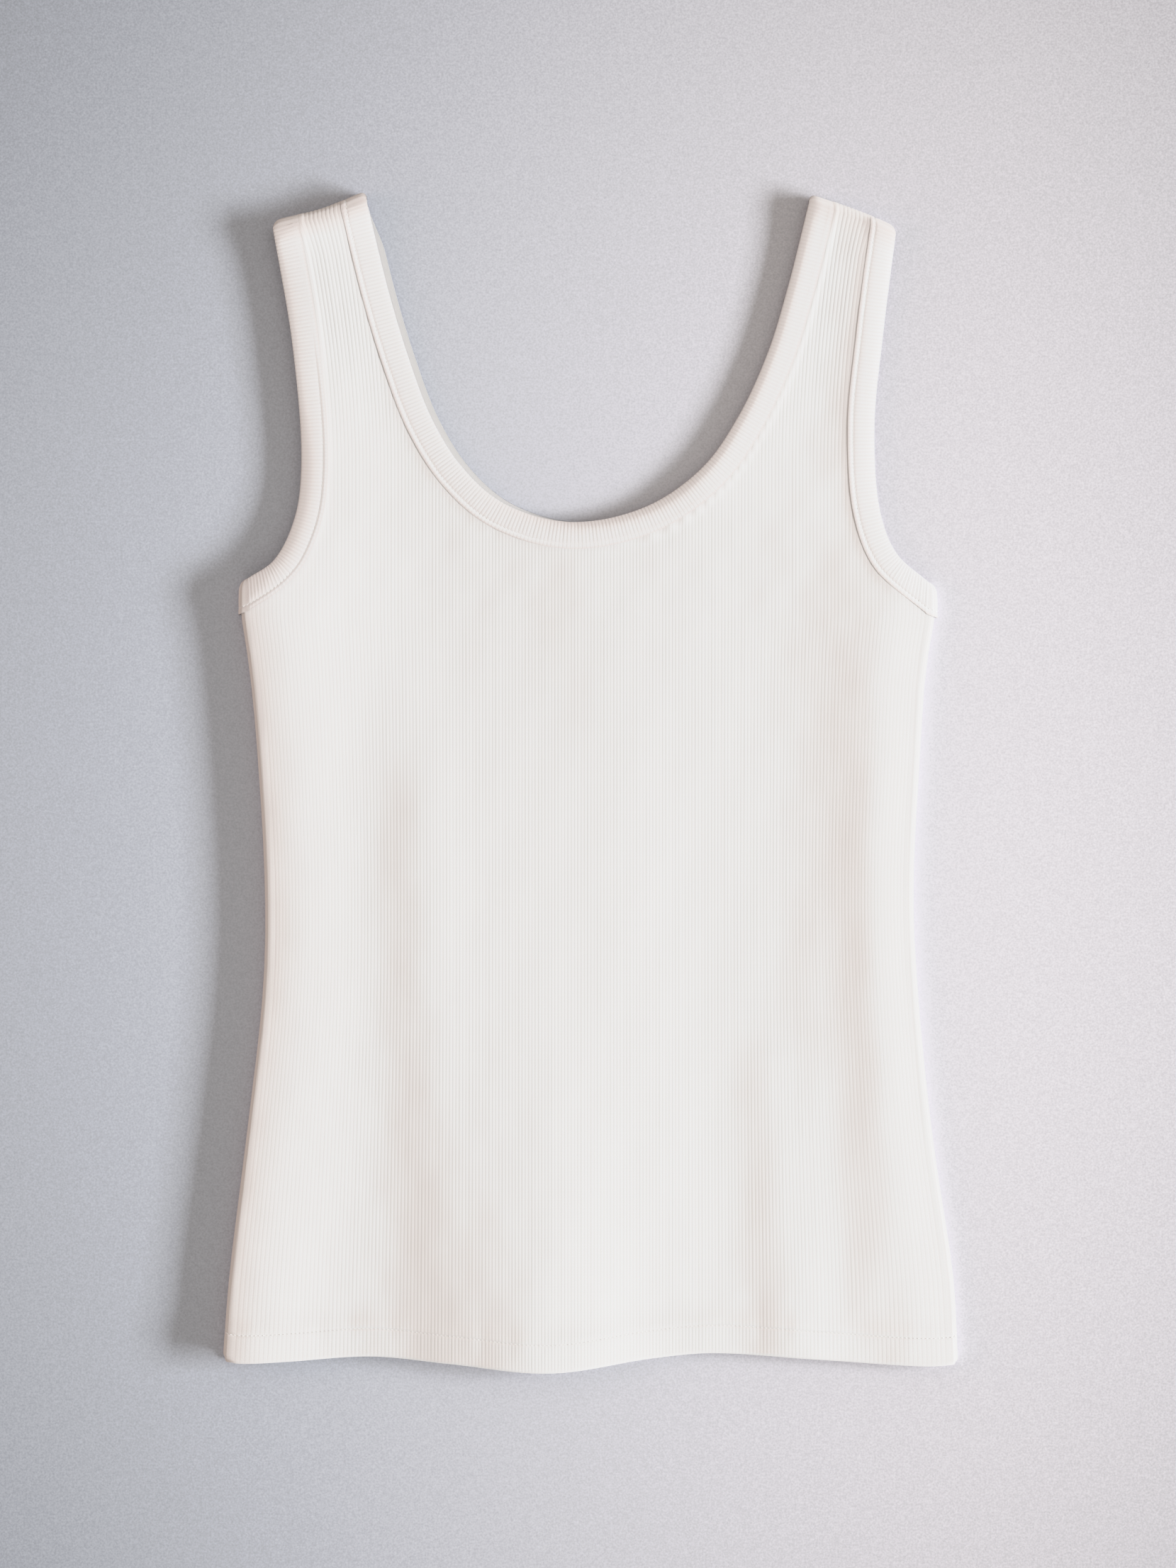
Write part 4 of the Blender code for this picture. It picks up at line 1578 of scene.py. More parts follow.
    def seam_ridge(self, x: np.ndarray, y: np.ndarray, clear: np.ndarray) -> np.ndarray:
        """Return how far the turned-in edge of a binding lifts the cloth on its left side.

        Args:
            x: the places' x.
            y: the places' y.
            clear: their distance from the nearest seam.

        Returns:
            The height of the small ridge at each place.
        """
        step = np.maximum(np.gradient(x, axis=1), self.least_step)
        away = np.gradient(clear, axis=1) / step
        shown = smooth_step(self.ridge_rise * away) * self.ridge_foot.at(y)
        least, more = self.arm_ridge_off
        arm_off = least + more * self.arm_ridge_fade.at(y)
        off = np.where(x > self.arm_ridge_end, self.ridge_off, arm_off)
        return self.ridge_height * shown * bump_at(clear - off, self.ridge_reach)

    def build(self) -> bpy.types.Object:
        """Build the panel as a thin closed wall.

        Returns:
            The piece.
        """
        lie = self.lie
        grid = self.lay_grid()
        x, y = grid.plan[..., 0], grid.plan[..., 1]
        clear, along_ribs = measure_seams(self.seams, x, y)
        above = y - lie.hem_line(x)
        crest = self.crests(grid)
        strength = self.rib_strength(grid, above, clear, along_ribs)
        drop = self.edge_drop(above)
        rib = self.rib_height * strength * crest
        doubled = smooth_step((lie.hem_depth + self.hem_step - above) / self.hem_step)
        thickness = lie.cloth + (lie.hem_thickness - lie.cloth) * doubled
        if self.face is Face.FRONT:
            swell = self.seam_swell * bump_at(np.maximum(clear, 0.0), self.seam_reach)
            swell = swell + self.seam_ridge(x, y, clear)
            surface = rib - drop + swell - self.hem_creases(x, above) + lie.ripples(x, y)
        else:
            surface = rib - self.rib_height - drop
        inside = drop - thickness
        outer = grid.base + grid.out * surface[..., None]
        inner = grid.base + grid.out * inside[..., None]
        calm = grid_normals(outer - grid.out * rib[..., None])
        calm = COTTON.ease_folds(calm * self.face.value)
        sharp = COTTON.ease_folds(grid_normals(outer) * self.face.value)
        normals = COTTON.spread_light(unit(calm + (sharp - calm) * self.rib_tilt))
        # painted shade where the cloth turns from the lamp, along the right side and at the shoulder
        # folds
        painted_light_and_shade = lie.painted_shade(x, y, calm)
        # The crest mark carries the ribs' strength, so the valley colour's painted shade also falls
        # where the ribs lie flatter: beside seams, at the sides, along the hem's edge and over its
        # stitches.
        cloth = CutCloth(outer, inner, normals, grid, crest * strength, painted_light_and_shade, self.seams)
        return cloth.piece(self.name, flip=self.face is Face.BACK)

    def stitches(self) -> bpy.types.Object:
        """Sew the row of stitches that holds the hem, all across the panel.

        Returns:
            The piece that holds the stitches.
        """
        lie = self.lie
        rib = np.linspace(0.0, self.rib_count, self.stitch_reads * self.rib_count)
        base, out = self.lay_row(GridRow(RowKind.HEM, lie.hem_depth), rib)
        if self.face is Face.FRONT:
            x, y, _ = base.T
            depth = self.hem_creases(x, np.full(rib.shape, lie.hem_depth))
            surface = self.stitch_rise * self.rib_height - depth + lie.ripples(x, y)
        else:
            surface = np.full(rib.shape, -0.5 * self.rib_height)
        line = base + out * surface[:, None]
        return Stitching().lay(self.name.replace("_knit", "_hem_stitches"), line, out)


OUTER = slice(0, 3)
INNER = slice(3, 6)
PLAN = slice(6, 8)
RIB = 8
CREST = 9
WAY_OUT = slice(10, 13)
PAINTED_SHADE_COLUMN = 13
NUMBERS = 14


@dataclass
class CutCloth:
    """A grid of cloth with an outer and an inner face, cut out along its seams."""

    outer: np.ndarray
    inner: np.ndarray
    normals: np.ndarray
    grid: Grid
    crest: np.ndarray
    painted_light_and_shade: np.ndarray
    seams: list[Seam]
    least_share: float = 0.03
    least_gap: float = 1e-9
    searches: int = 5

    def stack(self) -> np.ndarray:
        """Gather what is known of each place of the grid.

        Returns:
            A row for each place: outer, inner, plan, rib, crest, way out and painted shade.
        """
        parts = (
            self.outer,
            self.inner,
            self.grid.plan,
            self.grid.rib[..., None],
            self.crest[..., None],
            self.normals,
            self.painted_light_and_shade[..., None],
        )
        return np.concatenate(parts, axis=-1).reshape(-1, NUMBERS)

    def crossings(self, places: np.ndarray, clear: np.ndarray, edges: np.ndarray) -> np.ndarray:
        """Return the places where edges of the grid cross a seam.

        Args:
            places: the numbers of each place of the grid.
            clear: the distance of each place from the nearest seam.
            edges: pairs of places, the first on the panel and the second off it.

        Returns:
            The numbers of the crossings, one row for each edge.
        """
        start = places[edges[:, 0]]
        run = places[edges[:, 1]] - start
        low = np.zeros(len(edges))
        high = np.ones(len(edges))
        near = clear[edges[:, 0]]
        far = clear[edges[:, 1]]
        for _ in range(self.searches):
            share = low + (high - low) * near / (near - far)
            at = start[:, PLAN] + run[:, PLAN] * share[:, None]
            here, _ = measure_seams(self.seams, *at.T)
            on = here > 0.0
            low = np.where(on, share, low)
            near = np.where(on, here, near)
            high = np.where(on, high, share)
            far = np.where(on, far, np.minimum(here, -self.least_gap))
        share = np.clip(share, self.least_share, 1.0 - self.least_share)
        return start + run * share[:, None]

    def cut(self) -> tuple[np.ndarray, list[tuple[int, ...]]]:
        """Cut the grid along its seams.

        Returns:
            The places that are left after the cut, and the faces between them.
        """
        places = self.stack()
        clear, _ = measure_seams(self.seams, *places[:, PLAN].T)
        rows, columns = self.crest.shape
        index = np.arange(rows * columns).reshape(rows, columns)
        cells = np.stack(
            [index[:-1, :-1], index[:-1, 1:], index[1:, 1:], index[1:, :-1]], axis=-1
        ).reshape(-1, 4)
        on = clear[cells] > 0.0
        faces = [tuple(cell) for cell in cells[on.all(axis=1)].tolist()]
        edges: dict[tuple[int, int], int] = {}
        for cell in cells[on.any(axis=1) & ~on.all(axis=1)].tolist():
            polygon = []
            for one, two in zip(cell, cell[1:] + cell[:1]):
                if clear[one] > 0.0:
                    polygon.append(one)
                if (clear[one] > 0.0) != (clear[two] > 0.0):
                    edge = (one, two) if clear[one] > 0.0 else (two, one)
                    polygon.append(edges.setdefault(edge, len(places) + len(edges)))
            faces.append(tuple(polygon))
        crossed = self.crossings(places, clear, np.array(list(edges)))
        return np.vstack([places, crossed]), faces

    def piece(self, name: str, flip: bool) -> bpy.types.Object:
        """Return the cloth as a closed wall.

        Args:
            name: the piece's name.
            flip: whether the outer face looks down.

        Returns:
            The piece.
        """
        places, faces = self.cut()
        used = np.unique(np.concatenate([np.array(face) for face in faces]))
        number = np.full(len(places), -1)
        number[used] = np.arange(len(used))
        places = places[used]
        count = len(used)
        outer = [tuple(int(number[i]) for i in face) for face in faces]
        inner = [tuple(i + count for i in reversed(face)) for face in outer]
        open_edges = set()
        for face in outer:
            for one, two in zip(face, face[1:] + face[:1]):
                if (two, one) in open_edges:
                    open_edges.remove((two, one))
                else:
                    open_edges.add((one, two))
        rim = [(two, one, one + count, two + count) for one, two in sorted(open_edges)]
        everything = outer + inner + rim
        if flip:
            everything = [tuple(reversed(face)) for face in everything]
        points = np.vstack([places[:, OUTER], places[:, INNER]])
        knit = np.column_stack([places[:, RIB], places[:, PLAN][:, 1] / COURSE])
        normals = unit(places[:, WAY_OUT])
        return new_piece(
            name,
            points,
            everything,
            np.vstack([knit, knit]),
            {
                "crest": np.tile(places[:, CREST], 2),
                "inside": np.arange(2 * count) >= count,
                # the painted shade mark
                "painted_light_and_shade": np.tile(places[:, PAINTED_SHADE_COLUMN], 2),
            },
            Shading(np.vstack([normals, -normals]), np.arange(len(everything)) < 2 * len(outer)),
        )


# ---------------------------------------------------------------- meshes
SHARP_ANGLE = 50.0


@dataclass
class Shading:
    """How a piece shades: the way out at each point, and which faces it holds for."""

    normals: np.ndarray
    eased: np.ndarray


def new_piece(
    name: str,
    points: np.ndarray,
    faces: list[tuple[int, ...]],
    knit: np.ndarray,
    marks: dict[str, np.ndarray],
    shading: Shading | None = None,
) -> bpy.types.Object:
    """Make a mesh piece and link it to the scene.

    Args:
        name: the piece's name.
        points: its points in millimetres.
        faces: its faces.
        knit: for each point, its place in ribs and courses, kept as the UV map.
        marks: for each mark's name, its value at each point.
        shading: how it shades, where its own shape doesn't say.

    Returns:
        The piece.
    """
    data = bpy.data.meshes.new(name)
    data.from_pydata((points * MM).tolist(), [], faces)
    corner = np.zeros(len(data.loops), np.int32)
    data.loops.foreach_get("vertex_index", corner)
    layer = data.uv_layers.new(name="knit")
    layer.data.foreach_set("uv", knit[corner].astype(np.float32).ravel())
    for label, values in marks.items():
        attribute = data.attributes.new(label, "FLOAT", "POINT")
        attribute.data.foreach_set("value", values.astype(np.float32))
    data.shade_smooth()
    data.set_sharp_from_angle(angle=math.radians(SHARP_ANGLE))
    data.update()
    if shading is not None:
        shown = np.repeat(shading.eased, [len(face) for face in faces])
        data.normals_split_custom_set((shading.normals[corner] * shown[:, None]).tolist())
    piece = bpy.data.objects.new(name, data)
    bpy.context.scene.collection.objects.link(piece)
    return piece


@dataclass(frozen=True)
class Stitching:
    """A row of stitches, each a small spindle of thread that sinks in at both ends.

    rings give each ring's place along the stitch and its share of the radius.
    """

    pitch: float = 2.35
    length: float = 1.75
    radius: float = 0.17
    sides: int = 6
    rings: tuple[tuple[float, float], ...] = (
        (-0.5, 0.25), (-0.38, 0.8), (0.0, 1.0), (0.38, 0.8), (0.5, 0.25),
    )
    middle_rise: float = 0.35
    end_sink: float = 1.2
    reach: float = 0.4
    lowest: float = 0.02

    def lay(self, name: str, line: np.ndarray, normal: np.ndarray) -> bpy.types.Object:
        """Lay a row of stitches along a line.

        Args:
            name: the piece's name.
            line: points along the row.
            normal: the way out of the cloth at each point.

        Returns:
            One piece that holds all the stitches.
        """
        along = lengths_along(line)
        count = int(along[-1] // self.pitch)
        middle = (np.arange(count) + 0.5) * along[-1] / count
        here = read_along(middle, along, np.hstack([line, normal]))
        after = read_along(middle + self.reach, along, line)
        way = unit(after - read_along(middle - self.reach, along, line))
        up = here[:, 3:]
        up = unit(up - (up * way).sum(axis=1, keepdims=True) * way)
        aside = np.cross(up, way)
        points = []
        for place, size in self.rings:
            sag = self.middle_rise * self.radius - self.end_sink * self.radius * (2.0 * place) ** 2
            for k in range(self.sides):
                angle = k * math.tau / self.sides
                offset = (
                    way * place * self.length
                    + aside * math.cos(angle) * self.radius * size
                    + up * (math.sin(angle) * self.radius * size + sag)
                )
                points.append(here[:, :3] + offset)
        spindle = self.spindle_faces()
        faces = [
            tuple(corner + stitch * len(points) for corner in face)
            for stitch in range(count)
            for face in spindle
        ]
        flat = np.stack(points, axis=1).reshape(-1, 3)
        flat[:, 2] = np.maximum(flat[:, 2], self.lowest)
        return new_piece(name, flat, faces, np.zeros((len(flat), 2)), {})

    def spindle_faces(self) -> list[tuple[int, ...]]:
        """List the faces of one stitch.

        Returns:
            The numbers of each face's points.
        """
        sides = self.sides
        last = (len(self.rings) - 1) * sides
        faces = []
        for ring in range(0, last, sides):
            for k in range(sides):
                one, two = ring + k, ring + (k + 1) % sides
                faces.append((one, two, two + sides, one + sides))
        return faces + [tuple(reversed(range(sides))), tuple(range(last, last + sides))]


# ---------------------------------------------------------------- finishes

Value = bpy.types.NodeSocket | float | Sequence[float]


@dataclass
class Wiring:
    """A tree of shader nodes, with short ways to add nodes to it."""

    tree: bpy.types.NodeTree

    def put(self, socket: bpy.types.NodeSocket, value: Value) -> None:
        """Link a value into an input, or set it there.

        Args:
            socket: the input.
            value: another node's output, or a plain value.
        """
        if isinstance(value, bpy.types.NodeSocket):
            self.tree.links.new(value, socket)
        else:
            socket.default_value = value

    def add(self, kind: str, inputs: dict[str | int, Value], **settings: object) -> bpy.types.Node:
        """Add a node.

        Args:
            kind: the node's type, without the word ShaderNode.
            inputs: what goes into its inputs, by their name or number.
            settings: its own settings.

        Returns:
            The node.
        """
        node = self.tree.nodes.new("ShaderNode" + kind)
        for label, setting in settings.items():
            setattr(node, label, setting)
        for place, value in inputs.items():
            self.put(node.inputs[place], value)
        return node

    def sum_up(self, operation: str, *values: Value) -> bpy.types.NodeSocket:
        """Add a Math node on some values and return its result."""
        return self.add("Math", dict(enumerate(values)), operation=operation).outputs[0]

    def vector(self, operation: str, one: Value, two: Value) -> bpy.types.Node:
        """Add a Vector Math node on two values and return it."""
        return self.add("VectorMath", {0: one, 1: two}, operation=operation)

    def mix(self, factor: Value, one: Value, two: Value, kind: str = "MIX") -> bpy.types.NodeSocket:
        """Add a mix of two colours and return its result."""
        inputs = {"Factor": factor, 6: one, 7: two}
        return self.add("Mix", inputs, data_type="RGBA", blend_type=kind).outputs[2]

    def place(self) -> bpy.types.NodeSocket:
        """Add the place in the piece's own coordinates and return it."""
        return self.add("TexCoord", {}).outputs["Object"]

    def mark(self, label: str) -> bpy.types.NodeSocket:
        """Add one of the mesh's marks and return its value."""
        return self.add("Attribute", {}, attribute_name=label).outputs["Fac"]


def new_group(name: str, inputs: dict[str, str], outputs: Sequence[str]) -> Wiring:
    """Make an empty shader node group, with its input and output nodes.

    Args:
        name: the group's name.
        inputs: the kind of socket for each input's name.
        outputs: the names of the outputs, which are all values.

    Returns:
        The group's wiring.
    """
    group = bpy.data.node_groups.new(name, "ShaderNodeTree")
    for label, kind in inputs.items():
        group.interface.new_socket(label, in_out="INPUT", socket_type=kind)
    for label in outputs:
        group.interface.new_socket(label, in_out="OUTPUT", socket_type="NodeSocketFloat")
    group.nodes.new("NodeGroupInput").name = "in"
    group.nodes.new("NodeGroupOutput").name = "out"
    return Wiring(group)


def new_material(name: str, shader_inputs: dict[str, Value]) -> tuple[bpy.types.Material, Wiring]:
    """Make a material with one shader.

    Args:
        name: the material's name.
        shader_inputs: plain values for the shader's inputs.

    Returns:
        The material and its wiring.
    """
    material = bpy.data.materials.new(name)
    material.use_nodes = True
    wiring = Wiring(material.node_tree)
    for label, value in shader_inputs.items():
        wiring.tree.nodes["Principled BSDF"].inputs[label].default_value = value
    return material, wiring


@dataclass(frozen=True)
class KnitLoops:
    """Shader group that draws the knit's loops from ribs and courses."""

    name: str = "knit_loops"
    loop_roundness: float = 0.6
    leg_roundness: float = 0.5
    leg_foot: float = 0.4

    def build(self) -> None:
        """Build the group."""
        sockets = {"Knit": "NodeSocketVector", "Slant": "NodeSocketFloat"}
        wiring = new_group(self.name, sockets, ["Height"])
        source = wiring.tree.nodes["in"].outputs
        sum_up = wiring.sum_up
        rib, row, _ = wiring.add("SeparateXYZ", {0: source["Knit"]}).outputs
        across = sum_up("FRACT", rib)
        off = sum_up("ABSOLUTE", sum_up("SUBTRACT", across, 0.5))
        course = sum_up("ADD", row, sum_up("MULTIPLY", off, source["Slant"]))
        wave = sum_up("SINE", sum_up("MULTIPLY", course, math.pi))
        loop = sum_up("POWER", sum_up("ABSOLUTE", wave), self.loop_roundness)
        leg = sum_up("SINE", sum_up("MULTIPLY", across, math.tau))
        leg = sum_up("POWER", sum_up("ABSOLUTE", leg), self.leg_roundness)
        height = sum_up("MULTIPLY", loop, sum_up("ADD", leg, self.leg_foot))
        wiring.put(wiring.tree.nodes["out"].inputs["Height"], height)


@dataclass(frozen=True)
class Yarn:
    """Shader group that gives yarn its slight unevenness and fuzz."""

    name: str = "yarn_unevenness"
    noises: tuple[tuple[str, float, float], ...] = (("Cloud", 42.0, 3.0), ("Fuzz", 2600.0, 2.0))

    def build(self) -> None:
        """Build the group."""
        outputs = [label for label, _, _ in self.noises]
        wiring = new_group(self.name, {"Place": "NodeSocketVector"}, outputs)
        place = wiring.tree.nodes["in"].outputs["Place"]
        for label, scale, detail in self.noises:
            noise = wiring.add("TexNoise", {"Scale": scale, "Detail": detail, "Vector": place})
            wiring.put(wiring.tree.nodes["out"].inputs[label], noise.outputs["Fac"])


@dataclass(frozen=True)
class KnitFinish:
    """Finish of cotton rib knit, with its loops. The slightly darker colour of its rib valleys is
    painted shade, and so are its darker inside and the darker, warmer tint that its painted shade
    mark calls for.
    """

    name: str
    crest: Colour
    valley: Colour
    # painted shade: the inside, which shows through the neck opening, is coloured darker
    inside_painted_shade: Colour = (0.77, 0.745, 0.735, 1.0)
    # painted shade: tints from none to a darker, warmer one
    painted_shade_tints: tuple[Colour, ...] = (
        (1.0, 1.0, 1.0, 1.0),
        (0.985, 0.95, 0.935, 1.0),
        (0.87, 0.81, 0.785, 1.0),
    )
    cloud: float = 0.06
    roughness: float = 0.87
    fuzz_roughness: float = 0.1
    sheen: float = 0.12
    sheen_roughness: float = 0.6
    gloss: float = 0.25
    loop_bump: tuple[float, float] = (0.2, 0.00012)
    fuzz_bump: tuple[float, float] = (0.15, 0.0001)
    loop_slant: float = 1.4

    def material(self) -> bpy.types.Material:
        """Make the material.

        Returns:
            The material.
        """
        material, wiring = new_material(self.name, {
            "Sheen Weight": self.sheen,
            "Sheen Roughness": self.sheen_roughness,
            "Specular IOR Level": self.gloss,
        })
        groups = bpy.data.node_groups
        knit = wiring.add("UVMap", {}, uv_map="knit").outputs["UV"]
        loops = {"Knit": knit, "Slant": self.loop_slant}
        loops = wiring.add("Group", loops, node_tree=groups["knit_loops"]).outputs["Height"]
        yarn = {"Place": wiring.place()}
        yarn = wiring.add("Group", yarn, node_tree=groups["yarn_unevenness"]).outputs
        # painted shade: the rib valleys get a darker colour
        ribs = wiring.mix(wiring.mark("crest"), self.valley, self.crest)
        cloud = wiring.sum_up("MULTIPLY", yarn["Cloud"], self.cloud)
        worn = wiring.mix(cloud, ribs, self.valley)
        # painted shade on the inside
        both = wiring.mix(wiring.mark("inside"), worn, self.inside_painted_shade)
        # painted shade: the mark darkens and warms the colour through these tints
        ramp = wiring.add("ValToRGB", {"Fac": wiring.mark("painted_light_and_shade")})
        ramp.color_ramp.elements.new(0.5)
        for stop, tint in zip(ramp.color_ramp.elements, self.painted_shade_tints):
            stop.color = tint
        fuzz = wiring.sum_up("MULTIPLY", yarn["Fuzz"], self.fuzz_roughness)
        normal = {}
        for height, (strength, distance) in ((loops, self.loop_bump), (yarn["Fuzz"], self.fuzz_bump)):
            bump = {"Strength": strength, "Distance": distance, "Height": height}
            normal = {"Normal": wiring.add("Bump", bump | normal).outputs["Normal"]}
        shader = wiring.tree.nodes["Principled BSDF"].inputs
        wiring.put(shader["Base Color"], wiring.mix(1.0, both, ramp.outputs["Color"], "MULTIPLY"))
        wiring.put(shader["Roughness"], wiring.sum_up("ADD", fuzz, self.roughness))
        wiring.put(shader["Normal"], normal["Normal"])
        return material


@dataclass(frozen=True)
class ThreadFinish:
    """Finish of the sewing thread: smooth twisted cotton."""

    name: str = "sewing_thread"
    colour: Colour = (0.86, 0.855, 0.84, 1.0)
    groove: float = 0.9
    roughness: float = 0.6
    twist: float = 900.0

    def material(self) -> bpy.types.Material:
        """Make the material.

        Returns:
            The material.
        """
        material, wiring = new_material(self.name, {"Roughness": self.roughness})
        twist = wiring.add("TexNoise", {"Scale": self.twist, "Vector": wiring.place()})
        shade = tuple(self.groove * value for value in self.colour[:3]) + (1.0,)
        colour = wiring.mix(twist.outputs["Fac"], shade, self.colour)
        wiring.put(wiring.tree.nodes["Principled BSDF"].inputs["Base Color"], colour)
        return material


@dataclass(frozen=True)
class BackdropFinish:
    """Finish of the surface: matt paper with painted light and shade, paler and warmer on the lamp's
    side and darker and cooler on the other.

    It has a painted pool of light round the garment, painted shade that deepens towards the corners,
    and a fine grain of its own.
    """

    name: str = "pale_backdrop"
    # painted light and shade: a paler, warmer colour on the lamp's side, a darker, cooler one on the
    # far side, and black that the corners darken towards as painted shade
    painted_light_and_shade: Colour = (0.83, 0.801, 0.838, 1.0)
    painted_shaded_side: Colour = (0.622, 0.647, 0.711, 1.0)
    deep: Colour = (0.0, 0.0, 0.0, 1.0)
    painted_lit_from: float = 0.293
    painted_shaded_from: float = -0.338
    painted_light_pool_centre: tuple[float, float, float] = (0.018, -0.039, 0.0)
    painted_light_pool_falloff: tuple[float, float, float] = (1.112, 0.858, 0.0)
    most_painted_corner_shade: float = 0.6
    grain: float = 0.34
    grain_scale: float = 900.0
    grain_detail: float = 1.0
    roughness: float = 0.95
    gloss: float = 0.1

    def material(self) -> bpy.types.Material:
        """Make the material.

        Returns:
            The material.
        """
        material, wiring = new_material(
            self.name, {"Roughness": self.roughness, "Specular IOR Level": self.gloss}
        )
        place = wiring.place()
        split = wiring.add("SeparateXYZ", {0: place})
        # painted light and shade: the colour grades from the far side to the lamp's side
        ends = {"From Min": self.painted_shaded_from, "From Max": self.painted_lit_from, "Value": split.outputs[0]}
        spread = wiring.add("MapRange", ends, interpolation_type="SMOOTHSTEP")
        painted_light_tone = wiring.mix(spread.outputs["Result"], self.painted_shaded_side, self.painted_light_and_shade)
        # a painted pool of light round the garment, with painted shade deepening towards the corners
        offset = wiring.vector("SUBTRACT", place, self.painted_light_pool_centre).outputs[0]
        scaled = wiring.vector("MULTIPLY", offset, self.painted_light_pool_falloff).outputs[0]
        square = wiring.vector("DOT_PRODUCT", scaled, scaled).outputs["Value"]
        noise = {"Scale": self.grain_scale, "Detail": self.grain_detail, "Vector": place}
        fleck = wiring.add("TexNoise", noise).outputs["Fac"]
        fleck = wiring.sum_up("MULTIPLY", wiring.sum_up("SUBTRACT", fleck, 0.5), self.grain)
        # the painted corner shade and the paper's own grain darken the colour together
        depth = wiring.sum_up("ADD", wiring.sum_up("MINIMUM", square, self.most_painted_corner_shade), fleck)
        colour = wiring.mix(depth, painted_light_tone, self.deep)
        wiring.put(wiring.tree.nodes["Principled BSDF"].inputs["Base Color"], colour)
        return material


# ---------------------------------------------------------------- studio


@dataclass(frozen=True)
class Lamp:
    """An area light that points at the garment: where it hangs, its power, size and colour."""

    name: str
    place: tuple[float, float, float]
    watts: float
    size: tuple[float, float]
    colour: tuple[float, float, float]

    def hang(self) -> None:
        """Add the light to the scene."""
        data = bpy.data.lights.new(self.name, "AREA")
        data.energy = self.watts
        data.shape = "RECTANGLE"
        data.size, data.size_y = self.size
        data.color = self.colour
        lamp = bpy.data.objects.new(self.name, data)
        lamp.location = self.place
        lamp.rotation_euler = (-Vector(self.place)).to_track_quat("-Z", "Y").to_euler()
        lamp.visible_camera = False
        bpy.context.scene.collection.objects.link(lamp)


@dataclass
class Studio:
    """The surface, the lights and the camera."""

    floor_size: float = 8.0
    floor_height: float = -0.0003
    key_watts: float = 728.0
    key_distance: float = 6.0
    key_rise: float = 14.5
    key_heading: float = -8.0
    key_size: tuple[float, float] = (3.2, 0.93)
    key_colour: tuple[float, float, float] = (0.957, 0.992, 1.03)
    fill: Lamp = Lamp("fill", (-2.2, 0.2, 0.5), 12.0, (1.2, 1.2), (1.0, 0.68, 0.62))
    dome: float = 0.505
    dome_colour: Colour = (1.0, 0.975, 0.91, 1.0)
    camera_x: float = -0.0014
    camera_y: float = -0.0006
    camera_height: float = 2.1176
    lens: float = 85.0

    def build(self) -> None:
        """Build the studio."""
        self.lay_floor()
        self.light()
        self.look()

    def lay_floor(self) -> None:
        """Lay the surface that the garment lies on."""
        bpy.ops.object.select_all(action="DESELECT")
        bpy.ops.mesh.primitive_plane_add(size=self.floor_size, location=(0, 0, self.floor_height))
        bpy.ops.object.transform_apply(location=True, rotation=True, scale=True)
        floor = bpy.context.active_object
        floor.name = "pale_floor"
        floor.data.materials.append(BackdropFinish().material())

    def light(self) -> None:
        """Light the garment with a low key from its left and an even dome."""
        rise = math.radians(self.key_rise)
        heading = math.radians(self.key_heading)
        way = Vector((
            math.cos(heading) * math.cos(rise),
            math.sin(heading) * math.cos(rise),
            math.sin(rise),
        ))
        key_place = tuple(way * self.key_distance)
        Lamp("key", key_place, self.key_watts, self.key_size, self.key_colour).hang()
        self.fill.hang()
        world = bpy.data.worlds.new("dome")
        world.use_nodes = True
        sky = world.node_tree.nodes["Background"]
        sky.inputs["Color"].default_value = self.dome_colour
        sky.inputs["Strength"].default_value = self.dome
        bpy.context.scene.world = world
        bpy.context.scene.view_settings.view_transform = "Khronos PBR Neutral"

    def look(self) -> None:
        """Place the camera straight above the garment."""
        data = bpy.data.cameras.new("camera")
        data.lens = self.lens
        camera = bpy.data.objects.new("camera", data)
        camera.location = (self.camera_x, self.camera_y, self.camera_height)
        bpy.context.scene.collection.objects.link(camera)
        bpy.context.scene.camera = camera


# ---------------------------------------------------------------- the garment


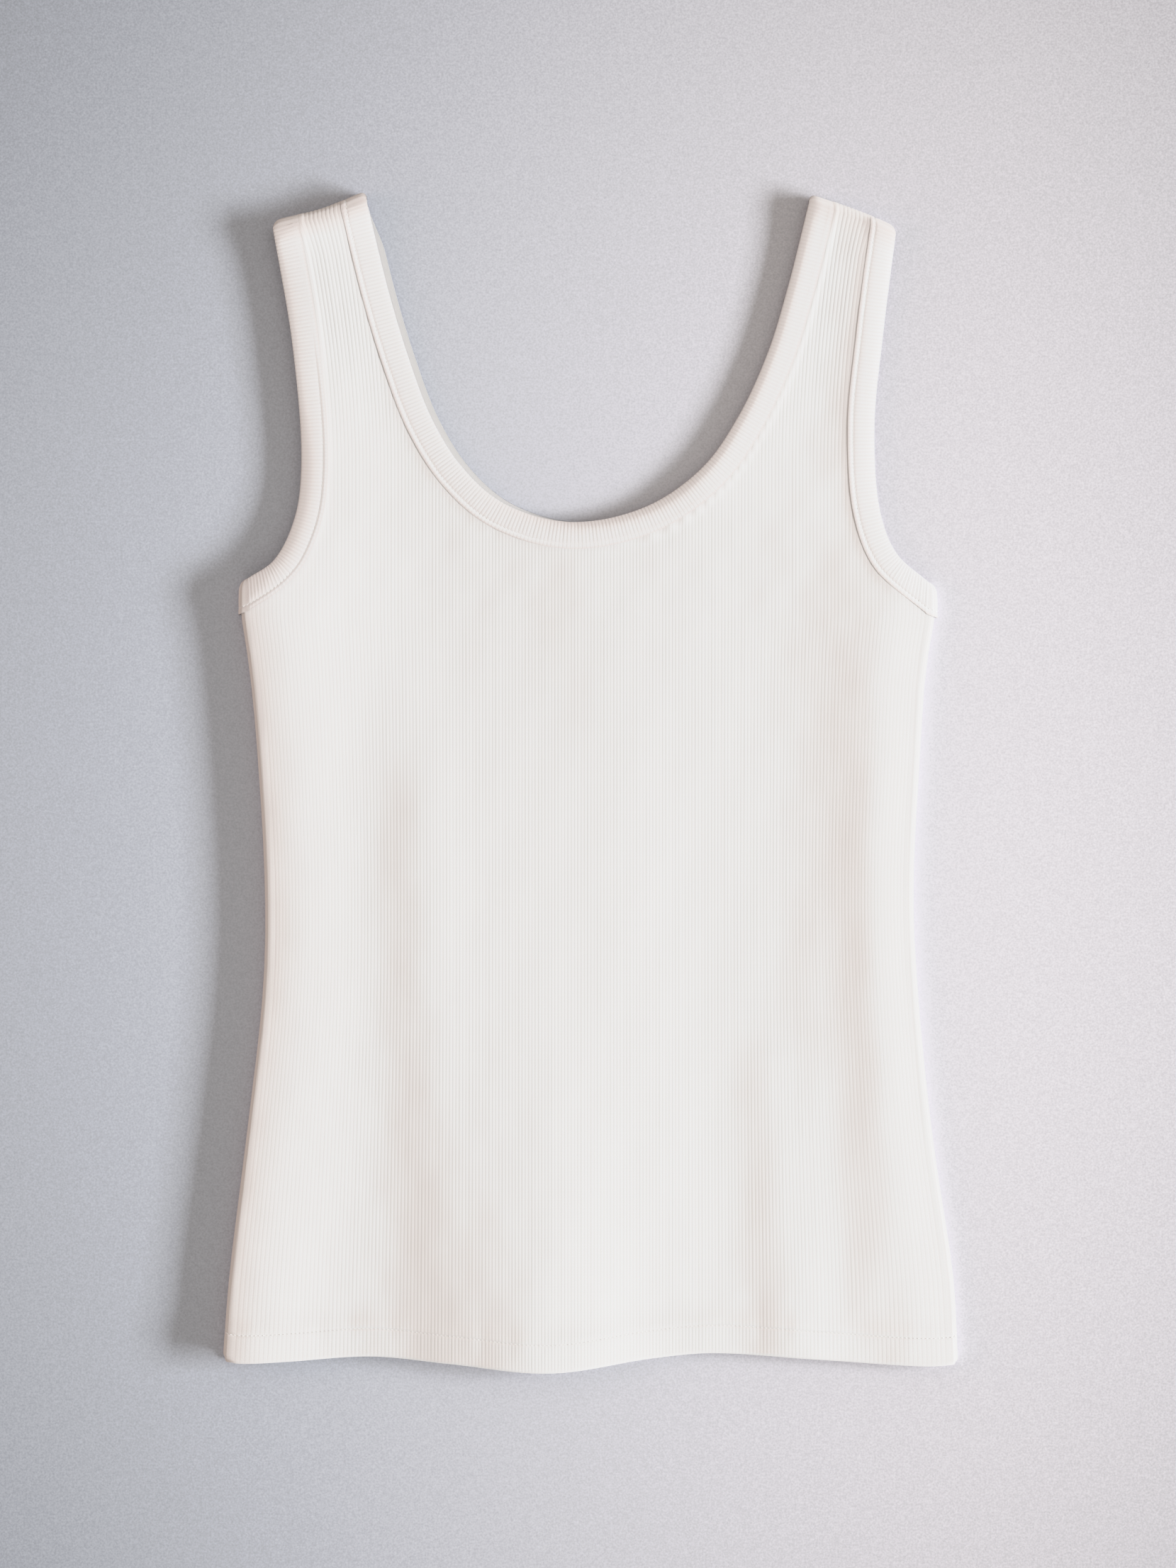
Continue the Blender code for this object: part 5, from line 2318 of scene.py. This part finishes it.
@dataclass
class TankTop:
    """The whole garment: two panels, three bindings and their stitches."""

    lie: Lie = field(default_factory=Lie)
    # Each knit's second colour, for its rib valleys, is painted shade.
    body: KnitFinish = KnitFinish(
        "body_rib_knit", (0.88, 0.877, 0.877, 1.0), (0.825, 0.803, 0.799, 1.0)
    )
    trim: KnitFinish = KnitFinish(
        "binding_rib_knit", (0.882, 0.872, 0.876, 1.0), (0.838, 0.815, 0.812, 1.0)
    )
    thread: ThreadFinish = ThreadFinish()

    def dress(
        self,
        piece: bpy.types.Object,
        material: bpy.types.Material,
        node: str | None = None,
    ) -> None:
        """Give a piece its finish and its place in the frame.

        Args:
            piece: the piece.
            material: its material.
            node: the solid that it stands for, where it stands for one.
        """
        piece.data.materials.append(material)
        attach(piece, "root")
        if node is not None:
            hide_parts(node)
        log.info("%s: %d faces", piece.name, len(piece.data.polygons))

    def sew(
        self,
        part: Band | Panel,
        material: bpy.types.Material,
        thread: bpy.types.Material,
    ) -> tuple[bpy.types.Object, bpy.types.Object]:
        """Build a part of the garment and its stitches, and dress both.

        Args:
            part: the binding or the panel.
            material: its knit.
            thread: its thread.

        Returns:
            The part's piece and that of its stitches.
        """
        piece = part.build()
        self.dress(piece, material, part.node)
        stitches = part.stitches()
        self.dress(stitches, thread)
        return piece, stitches

    def bindings(self) -> tuple[NeckBand, ArmholeBand, ArmholeBand]:
        """List the bindings.

        Returns:
            Those of the neck, the right armhole and the left armhole.
        """
        neck = NeckBand("neck_binding_knit", "neck_binding", self.lie)
        right = ArmholeBand(
            "right_armhole_binding_knit", "right_armhole_binding", self.lie, side=Side.RIGHT
        )
        left = ArmholeBand(
            "left_armhole_binding_knit", "left_armhole_binding", self.lie, side=Side.LEFT,
            turned_over=True,
        )
        return neck, right, left

    def build(self) -> None:
        """Build and dress every piece."""
        KnitLoops().build()
        Yarn().build()
        body = self.body.material()
        trim = self.trim.material()
        thread = self.thread.material()
        neck, right, left = self.bindings()
        for band, flat in (
            (neck, (0.018, 0.975)),
            (right, (0.018, 0.450)),
            (left, (0.018, 0.450)),
        ):
            piece, stitches = self.sew(band, trim, thread)
        arm_seams = [right.seam(), left.seam()]
        panels = (
            Panel("front_panel_knit", "front_panel", Face.FRONT, self.lie,
                  [neck.seam(neck.lay())] + arm_seams),
            Panel("back_panel_knit", "back_panel", Face.BACK, self.lie,
                  [neck.seam(neck.lay_back())] + arm_seams),
        )
        for panel in panels:
            piece, stitches = self.sew(panel, body, thread)


def main() -> None:
    """Build the garment and the studio round it."""
    logging.basicConfig(level=logging.INFO, format="%(name)s: %(message)s")
    TankTop().build()
    Studio().build()


if __name__ == "__main__":
    main()
